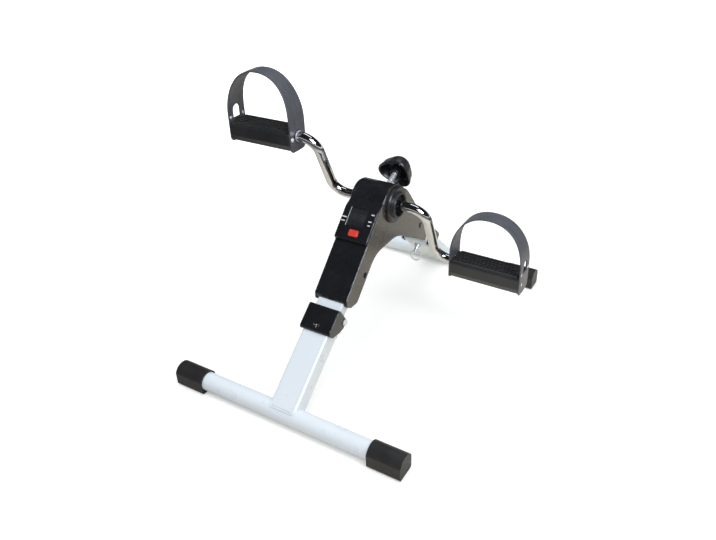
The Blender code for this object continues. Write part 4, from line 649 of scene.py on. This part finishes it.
def sweep(shape, points, radii, closed, sides):
    """Tube along points, with its own radius at each."""
    count = len(points)
    loops = []
    side_way = None
    for k, spot in enumerate(points):
        before = points[(k - 1) % count] if closed or k else spot
        after = points[(k + 1) % count] if closed or k < count - 1 else spot
        along = (after - before).normalized()
        if side_way is None:
            side_way = along.orthogonal()
        side_way = (side_way - along * side_way.dot(along)).normalized()
        other_way = along.cross(side_way)
        spokes = [side_way * math.cos(turn) + other_way * math.sin(turn) for turn in full_turn(sides)]
        loops.append([spot + spoke * radii[k] for spoke in spokes])
    loft(shape, loops, closed)


def dome(shape, place, direction, radius, height):
    """Low domed head on a flat face."""
    matrix = Matrix.Translation(place) @ direction.to_track_quat("Z", "Y").to_matrix().to_4x4()
    loops = []
    for k in range(DOME_RINGS):
        angle = math.pi / 2 * k / DOME_RINGS
        level, reach = height * math.sin(angle), radius * math.cos(angle)
        ring = [(reach * math.cos(turn), reach * math.sin(turn), level) for turn in full_turn(DOME_SIDES)]
        loops.append([matrix @ Vector(point) for point in ring])
    loft(shape, loops)


def prism(outline, low, high):
    """Closed object from a (y, z) outline, between two places across."""
    shape = bmesh.new()
    loft(shape, [[Vector((x, y, z)) for y, z in outline] for x in (low, high)])
    return object_from("cutter", shape, None)


def face_place(x, s, t):
    """Point counted from the axle: across (x), up the front face (s) and square to it (t)."""
    level, rise = math.cos(FACE_ANGLE), math.sin(FACE_ANGLE)
    return Vector((x, AXLE.y + s * level - t * rise, AXLE.z + s * rise + t * level))


def print_patch(shape, low, high, t):
    """Thin printed patch on the front face, from one corner to the other, with cut corners."""
    nip = min(high[0] - low[0], high[1] - low[1]) * PRINT_NIP
    outline = [
        (low[0] + nip, low[1]), (high[0] - nip, low[1]), (high[0], low[1] + nip), (high[0], high[1] - nip),
        (high[0] - nip, high[1]), (low[0] + nip, high[1]), (low[0], high[1] - nip), (low[0], low[1] + nip),
    ]
    bottom = [shape.verts.new(face_place(x, s, t - PRINT_HEIGHT)) for x, s in outline]
    top = [shape.verts.new(face_place(x, s, t + PRINT_HEIGHT)) for x, s in outline]
    shape.faces.new(top)
    shape.faces.new(bottom[::-1])
    count = len(outline)
    for k in range(count):
        shape.faces.new((bottom[k], bottom[(k + 1) % count], top[(k + 1) % count], top[k]))


# Fine pieces
def leg_directions(side):
    """Directions up a leg and outward from it."""
    inward = Vector(joints[side + "_lock_pull"]["axis"])
    up = Vector((0, -inward.z, inward.y))
    return (up if up.z > 0 else -up), -inward


def make_weld(side, look):
    """Weld bead where a leg stands on its floor bar."""
    up, out = leg_directions(side)
    low, high = (Vector(corner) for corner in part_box(side + "_bar"))
    centre = (low + high) / 2
    outline = []
    for corner_x, corner_t, start in ((1, 1, 0), (-1, 1, 90), (-1, -1, 180), (1, -1, 270)):
        for k in range(WELD_CORNER_STEPS + 1):
            angle = math.radians(start + 90 * k / WELD_CORNER_STEPS)
            x = corner_x * (LEG_HALF_WIDTH - LEG_CORNER) + LEG_CORNER * math.cos(angle)
            t = corner_t * (LEG_HALF_DEPTH - LEG_CORNER) + LEG_CORNER * math.sin(angle)
            outline.append((x, t))
    points = []
    for (x, t), (next_x, next_t) in zip(outline, outline[1:] + outline[:1]):
        length = math.hypot(next_x - x, next_t - t)
        steps = max(1, round(length / (WELD_RIPPLE / WELD_SAMPLES)))
        for k in range(steps):
            share = k / steps
            at_x, at_t = x + (next_x - x) * share, t + (next_t - t) * share
            rise = math.sqrt(max(0.0, BAR_RADIUS ** 2 - at_t ** 2))
            points.append(centre + Vector((at_x, 0, 0)) + out * at_t + up * rise)
    travelled = 0.0
    radii = []
    for k, spot in enumerate(points):
        ripple = math.sin(2 * math.pi * travelled / WELD_RIPPLE)
        radii.append(WELD_RADIUS * (1 + WELD_SWELL * ripple))
        travelled += (points[(k + 1) % len(points)] - spot).length
    shape = bmesh.new()
    sweep(shape, points, radii, True, sides=WELD_SIDES)
    piece_from(side + "_leg_weld", shape, look, side + "_support")


def make_thread(look):
    """Screw thread on the bare stretch of the tension screw."""
    along = Vector(joints["knob_turn"]["axis"]).normalized()
    across = along.orthogonal().normalized()
    other = along.cross(across)
    turns = (THREAD_TO - THREAD_FROM) / THREAD_PITCH
    count = int(turns * THREAD_STEPS)
    points = []
    for k in range(count + 1):
        angle = 2 * math.pi * turns * k / count
        rise = THREAD_FROM + (THREAD_TO - THREAD_FROM) * k / count
        reach = (across * math.cos(angle) + other * math.sin(angle)) * STEM_RADIUS
        points.append(AXLE + along * rise + reach)
    shape = bmesh.new()
    sweep(shape, points, [THREAD_RIDGE] * len(points), False, sides=THREAD_SIDES)
    piece_from("tension_screw_thread", shape, look, "knob")


def spindle_middle(name):
    """Place where the line of a pedal spindle crosses the middle plane."""
    return Vector(joints[name + "_pedal_spin"]["pos_m"])


def make_crank(name, side, look):
    """Smoothly bent chromed rod from the middle of the axle to the shoulder, with the pedal spindle."""
    reach = spindle_middle(name) - AXLE
    throw = reach.length
    bends = (
        (CRANK_ARM_X - CRANK_BEND, CRANK_BEND, -90, 90),
        (CRANK_ARM_X + CRANK_BEND, throw - CRANK_BEND, 180, -90),
    )
    line = [(0.0, 0.0)]
    for centre_x, centre_r, start, turn in bends:
        for k in range(BEND_STEPS + 1):
            angle = math.radians(start + turn * k / BEND_STEPS)
            line.append((centre_x + CRANK_BEND * math.cos(angle), centre_r + CRANK_BEND * math.sin(angle)))
    line.append((SHOULDER_X, throw))
    points = [AXLE + Vector((side * x, 0, 0)) + reach * (r / throw) for x, r in line]
    shape = bmesh.new()
    sweep(shape, points, [CRANK_RADIUS] * len(points), False, sides=CRANK_SIDES)
    spindle = [AXLE + reach + Vector((side * x, 0, 0)) for x in (SHOULDER_X, SPINDLE_END_X)]
    sweep(shape, spindle, [SPINDLE_RADIUS] * 2, False, sides=SPINDLE_SIDES)
    piece = piece_from("crank_rod_" + name, shape, look, "crank")
    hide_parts("crank_" + name)


def hoop_line():
    """Outer line of a foot hoop in (x, z), from the bottom of its outer foot over the top to the other."""
    middle = (PEDAL_INNER_X + PEDAL_OUTER_X) / 2
    half = (PEDAL_OUTER_X - PEDAL_INNER_X) / 2 - HOOP_INSET
    levels = []
    for k in range(CORNER_STEPS + 1):
        rise = 1 - math.cos(math.pi / 2 * k / CORNER_STEPS)
        levels.append(HOOP_FOOT_BOTTOM + HOOP_FOOT_CORNER * rise)
    line = [(middle + half, z) for z in levels]
    for k in range(HOOP_STEPS + 1):
        angle = math.pi * k / HOOP_STEPS
        cosine, sine = math.cos(angle), abs(math.sin(angle))
        x = middle + half * math.copysign(abs(cosine) ** (2 / HOOP_POWER), cosine)
        line.append((x, HOOP_BASE + (HOOP_TOP - HOOP_BASE) * sine ** (2 / HOOP_POWER)))
    return line + [(middle - half, z) for z in reversed(levels)]


def hoop_half_width(z):
    """Half the width of a hoop at a level: wide feet with round corners, and a narrower top."""
    share = max(0.0, min(1.0, (z - HOOP_BASE) / (HOOP_TOP - HOOP_BASE)))
    eased = share * share * (3 - 2 * share)
    half = (HOOP_FOOT_WIDTH + (HOOP_TOP_WIDTH - HOOP_FOOT_WIDTH) * eased) / 2
    below = max(0.0, HOOP_FOOT_BOTTOM + HOOP_FOOT_CORNER - z)
    return half - HOOP_FOOT_CORNER + math.sqrt(max(0.0, HOOP_FOOT_CORNER ** 2 - below ** 2))


def slot_outline():
    """Arched slot in the outer foot, as (y, z)."""
    outline = [(SLOT_HALF_WIDTH, SLOT_LOW)]
    for k in range(SLOT_STEPS + 1):
        angle = math.pi * k / SLOT_STEPS
        level = SLOT_HIGH - SLOT_HALF_WIDTH + SLOT_HALF_WIDTH * math.sin(angle)
        outline.append((SLOT_HALF_WIDTH * math.cos(angle), level))
    return outline + [(-SLOT_HALF_WIDTH, SLOT_LOW)]


def make_hoop(name, side, look):
    """Foot hoop: one moulded band from foot to foot, crowned across, with its slot and spindle hole."""
    centre = spindle_middle(name)
    line = hoop_line()
    edge, thick = HOOP_EDGE, HOOP_THICKNESS
    loops = []
    for k, (x, z) in enumerate(line):
        before, after = line[max(k - 1, 0)], line[min(k + 1, len(line) - 1)]
        along = Vector((after[0] - before[0], 0, after[1] - before[1])).normalized()
        inward = Vector((-along.z, 0, along.x))
        half = hoop_half_width(z)
        section = (
            (half - edge, 0), (half, edge), (half, thick - edge), (half - edge, thick), (0, thick),
            (edge - half, thick), (-half, thick - edge), (-half, edge), (edge - half, 0), (0, -HOOP_CROWN),
        )
        spot = Vector((x, 0, z))
        loops.append([spot + inward * depth + Vector((0, y, 0)) for y, depth in section])
    shape = bmesh.new()
    loft(shape, loops)
    hoop = object_from("foot_band_" + name, shape, look)
    deep = HOOP_THICKNESS * 2
    turns = full_turn(HOLE_SIDES)
    hole = [(HOOP_HOLE_RADIUS * math.cos(turn), HOOP_HOLE_RADIUS * math.sin(turn)) for turn in turns]
    cut_out(hoop, prism(slot_outline(), PEDAL_OUTER_X - deep, PEDAL_OUTER_X + deep))
    cut_out(hoop, prism(hole, PEDAL_INNER_X - deep, PEDAL_INNER_X + deep))
    hoop.data.transform(Matrix.Translation(centre) @ Matrix.Scale(side, 4, (1, 0, 0)))
    if side < 0:
        hoop.data.flip_normals()
    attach(hoop, name + "_pedal")
    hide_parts("foot_hoop_" + name)


def make_rivets(name, side, look):
    """Rivets that hold a foot hoop to its pedal, on the outer foot and on the crank side."""
    centre = spindle_middle(name)
    shape = bmesh.new()
    outward = Vector((side, 0, 0))
    outer_face = PEDAL_OUTER_X - HOOP_INSET
    for y, z in FOOT_RIVETS:
        dome(shape, centre + Vector((side * outer_face, y, z)), outward, RIVET_RADIUS, RIVET_SHALLOW)
        if z > 0:
            inner_face = outer_face - HOOP_THICKNESS
            dome(shape, centre + Vector((side * inner_face, y, z)), -outward, RIVET_RADIUS, RIVET_HEIGHT)
    for y, z in PLATE_RIVETS:
        place = centre + Vector((side * (PEDAL_INNER_X + HOOP_INSET), y, z))
        dome(shape, place, -outward, RIVET_RADIUS * PLATE_RIVET_SHARE, RIVET_HEIGHT * PLATE_RIVET_SHARE)
    piece_from("hoop_rivets_" + name, shape, look, name + "_pedal")


def make_knob(look):
    """Cup with a three-cornered outline, a thick rounded crown and a boss for the screw inside."""
    along = Vector(joints["knob_turn"]["axis"]).normalized()
    across = Vector((1, 0, 0))
    down = along.cross(across)

    def ring(level, share=0.0, radius=0.0):
        """Loop at a level, at a share of the outline plus a plain radius."""
        loop = []
        for angle in full_turn(KNOB_SIDES):
            outline = KNOB_RADIUS + KNOB_LOBE * math.cos(KNOB_LOBES * (angle - KNOB_LOBE_AT))
            reach = share * outline + radius
            loop.append(AXLE + along * level + (across * math.cos(angle) + down * math.sin(angle)) * reach)
        return loop

    crown = KNOB_RIM + (KNOB_TOP - KNOB_RIM) * KNOB_CROWN
    floor = KNOB_RIM + KNOB_HOLLOW
    wall, edge, boss = KNOB_WALL_SHARE, KNOB_EDGE, KNOB_BOSS_RADIUS
    loops = []
    for k in range(KNOB_CROWN_STEPS + 1):
        angle = math.pi / 2 * (1 - k / KNOB_CROWN_STEPS)
        share = KNOB_TOP_SHARE + (KNOB_CROWN_SHARE - KNOB_TOP_SHARE) * math.cos(angle)
        loops.append(ring(crown + (KNOB_TOP - crown) * math.sin(angle), share))
    loops += [ring(KNOB_RIM + KNOB_SKIRT, 1.0), ring(KNOB_RIM + edge, KNOB_EDGE_SHARE)]
    loops += [ring(KNOB_RIM, KNOB_RIM_SHARE), ring(KNOB_RIM, wall + KNOB_TAPER), ring(KNOB_RIM + edge, wall)]
    loops += [ring(floor - KNOB_FLOOR_ROUND, wall - KNOB_TAPER), ring(floor, wall - KNOB_FLOOR_TAPER)]
    loops += [ring(floor, radius=boss + edge), ring(floor - edge, radius=boss)]
    loops += [ring(KNOB_RIM + edge / 2, radius=boss), ring(KNOB_RIM, radius=boss - edge / 2)]
    loops += [ring(KNOB_RIM, radius=STEM_RADIUS), ring(KNOB_RIM + edge, radius=STEM_RADIUS)]
    shape = bmesh.new()
    loft(shape, loops)
    piece = piece_from("knob_cup", shape, look, "knob")
    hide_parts("tension_knob")


def make_print_and_highlight(look):
    """Plain light marks beside the display, and a painted highlight: the light line along its window."""
    shape = bmesh.new()
    for low, high in DISPLAY_MARKS_AND_HIGHLIGHT:
        print_patch(shape, low, high, POD_TOP_T)
    piece_from("display_marks_and_highlight", shape, look, "housing", smooth=False)


def make_digits(look):
    """Plain figures of the switched-off display, every segment drawn."""
    shape = bmesh.new()
    half = DIGIT_STROKE / 2
    from_x, low = DIGIT_FROM
    for k in range(DIGIT_COUNT):
        left = from_x + k * DIGIT_STEP + (DIGIT_MIDDLE_GAP if k >= DIGIT_COUNT / 2 else 0.0)
        right, middle, high = left + DIGIT_WIDTH, low + DIGIT_HEIGHT / 2, low + DIGIT_HEIGHT
        for s in (low, middle, high):
            print_patch(shape, (left + half, s - half), (right - half, s + half), SCREEN_LEVEL)
        for x in (left, right):
            for start, end in ((low, middle), (middle, high)):
                print_patch(shape, (x - half, start + half), (x + half, end - half), SCREEN_LEVEL)
    piece_from("display_digits", shape, look, "housing", smooth=False)


# Camera, lamps and floor
def make_camera():
    yaw, pitch = CAMERA_YAW, CAMERA_PITCH
    right = Vector((math.cos(yaw), math.sin(yaw), 0.0))
    back = Vector((math.sin(yaw) * math.cos(pitch), -math.cos(yaw) * math.cos(pitch), math.sin(pitch)))
    up = back.cross(right)
    across = math.cos(CAMERA_ROLL) * right + math.sin(CAMERA_ROLL) * up
    upward = math.cos(CAMERA_ROLL) * up - math.sin(CAMERA_ROLL) * right
    data = bpy.data.cameras.new("camera")
    data.lens = CAMERA_LENS
    data.sensor_width = CAMERA_SENSOR
    data.clip_end = CAMERA_REACH
    camera = bpy.data.objects.new("camera", data)
    bpy.context.scene.collection.objects.link(camera)
    camera.matrix_world = Matrix.Translation(CAMERA_AT) @ Matrix((across, upward, back)).transposed().to_4x4()
    bpy.context.scene.camera = camera


def make_lamp(name, place, size, power, colour, highlight_only):
    """Soft rectangular lamp that faces the middle of the bike, either for light or for highlights."""
    data = bpy.data.lights.new(name, "AREA")
    data.shape = "RECTANGLE"
    data.size, data.size_y = size
    data.energy = power
    data.color = colour
    lamp = bpy.data.objects.new(name, data)
    bpy.context.scene.collection.objects.link(lamp)
    lamp.location = place
    toward = Vector(LAMP_AIM) - Vector(place)
    lamp.rotation_euler = toward.to_track_quat("-Z", "Y").to_euler()
    lamp.visible_glossy = highlight_only
    lamp.visible_diffuse = not highlight_only


def make_world():
    """White to the camera, soft light on matte surfaces, and a cove that darkens upward to mirrors."""
    world = bpy.data.worlds.new("studio")
    bpy.context.scene.world = world
    world.use_nodes = True
    nodes, links = world.node_tree.nodes, world.node_tree.links
    background = nodes["Background"]
    background.inputs["Color"].default_value = PURE_WHITE
    direction = nodes.new("ShaderNodeTexCoord")
    split = nodes.new("ShaderNodeSeparateXYZ")
    links.new(direction.outputs["Generated"], split.inputs["Vector"])
    cove = nodes.new("ShaderNodeMapRange")
    cove.interpolation_type = "SMOOTHSTEP"
    cove.inputs["From Min"].default_value = COVE_TOP[0]
    cove.inputs["From Max"].default_value = COVE_TOP[1]
    cove.inputs["To Min"].default_value = COVE_LIGHT
    cove.inputs["To Max"].default_value = CEILING_LIGHT
    links.new(split.outputs["Z"], cove.inputs["Value"])
    path = nodes.new("ShaderNodeLightPath")
    light = nodes.new("ShaderNodeMix")
    links.new(path.outputs["Is Glossy Ray"], light.inputs["Factor"])
    light.inputs["A"].default_value = AMBIENT_LIGHT
    links.new(cove.outputs["Result"], light.inputs["B"])
    strength = light.outputs["Result"]
    for seen in ("Is Camera Ray", "Is Transmission Ray"):
        brighter = nodes.new("ShaderNodeMath")
        brighter.operation = "MAXIMUM"
        links.new(path.outputs[seen], brighter.inputs[0])
        links.new(strength, brighter.inputs[1])
        strength = brighter.outputs["Value"]
    links.new(strength, background.inputs["Strength"])


def floor_material():
    """Matte floor: white with its shadow to the camera, a cream sheet that ends nearby to all else."""
    look = Surface("studio_floor", FLOOR_WHITE, FLOOR_ROUGHNESS)
    look.set("Specular IOR Level", FLOOR_SHINE)
    look.set("Emission Color", PURE_WHITE)
    away = look.nodes.new("ShaderNodeVectorMath")
    away.operation = "DISTANCE"
    away.inputs[1].default_value = FLOOR_SHEET
    look.links.new(look.place, away.inputs[0])
    ending = look.spread(away.outputs["Value"], 0.0, 1.0, SHEET_NEAR, SHEET_FAR)
    sheet = look.blend(ending, FLOOR_CREAM, FLOOR_FAR)
    seen = look.nodes.new("ShaderNodeLightPath").outputs["Is Camera Ray"]
    look.join(look.blend(seen, sheet, FLOOR_WHITE), "Base Color")
    lift = look.spread(away.outputs["Value"], FLOOR_LIFT, FLOOR_LIFT_FAR, LIFT_NEAR, LIFT_FAR)
    look.join(look.math("MULTIPLY", seen, lift), "Emission Strength")
    return look.material


def make_floor():
    mesh = bpy.data.meshes.new("studio_floor")
    shape = bmesh.new()
    bmesh.ops.create_grid(shape, x_segments=1, y_segments=1, size=FLOOR_HALF)
    shape.to_mesh(mesh)
    shape.free()
    floor = bpy.data.objects.new("studio_floor", mesh)
    bpy.context.scene.collection.objects.link(floor)
    floor.data.materials.append(floor_material())


def make_studio():
    make_camera()
    make_world()
    make_floor()
    for lamp in LAMPS:
        make_lamp(*lamp)
    bpy.context.scene.view_settings.view_transform = "Standard"


looks = dress()
for leg_side in ("front", "rear"):
    make_weld(leg_side, looks[powder_coat])
make_thread(looks[zinc_steel])
make_knob(looks[knob_plastic])
for pedal_name, pedal_side in (("left", -1), ("right", 1)):
    make_crank(pedal_name, pedal_side, looks[chrome])
    make_hoop(pedal_name, pedal_side, looks[strap_plastic])
    make_rivets(pedal_name, pedal_side, looks[zinc_steel])
make_print_and_highlight(white_for_print_and_highlight())
make_digits(faint_segments())
make_studio()
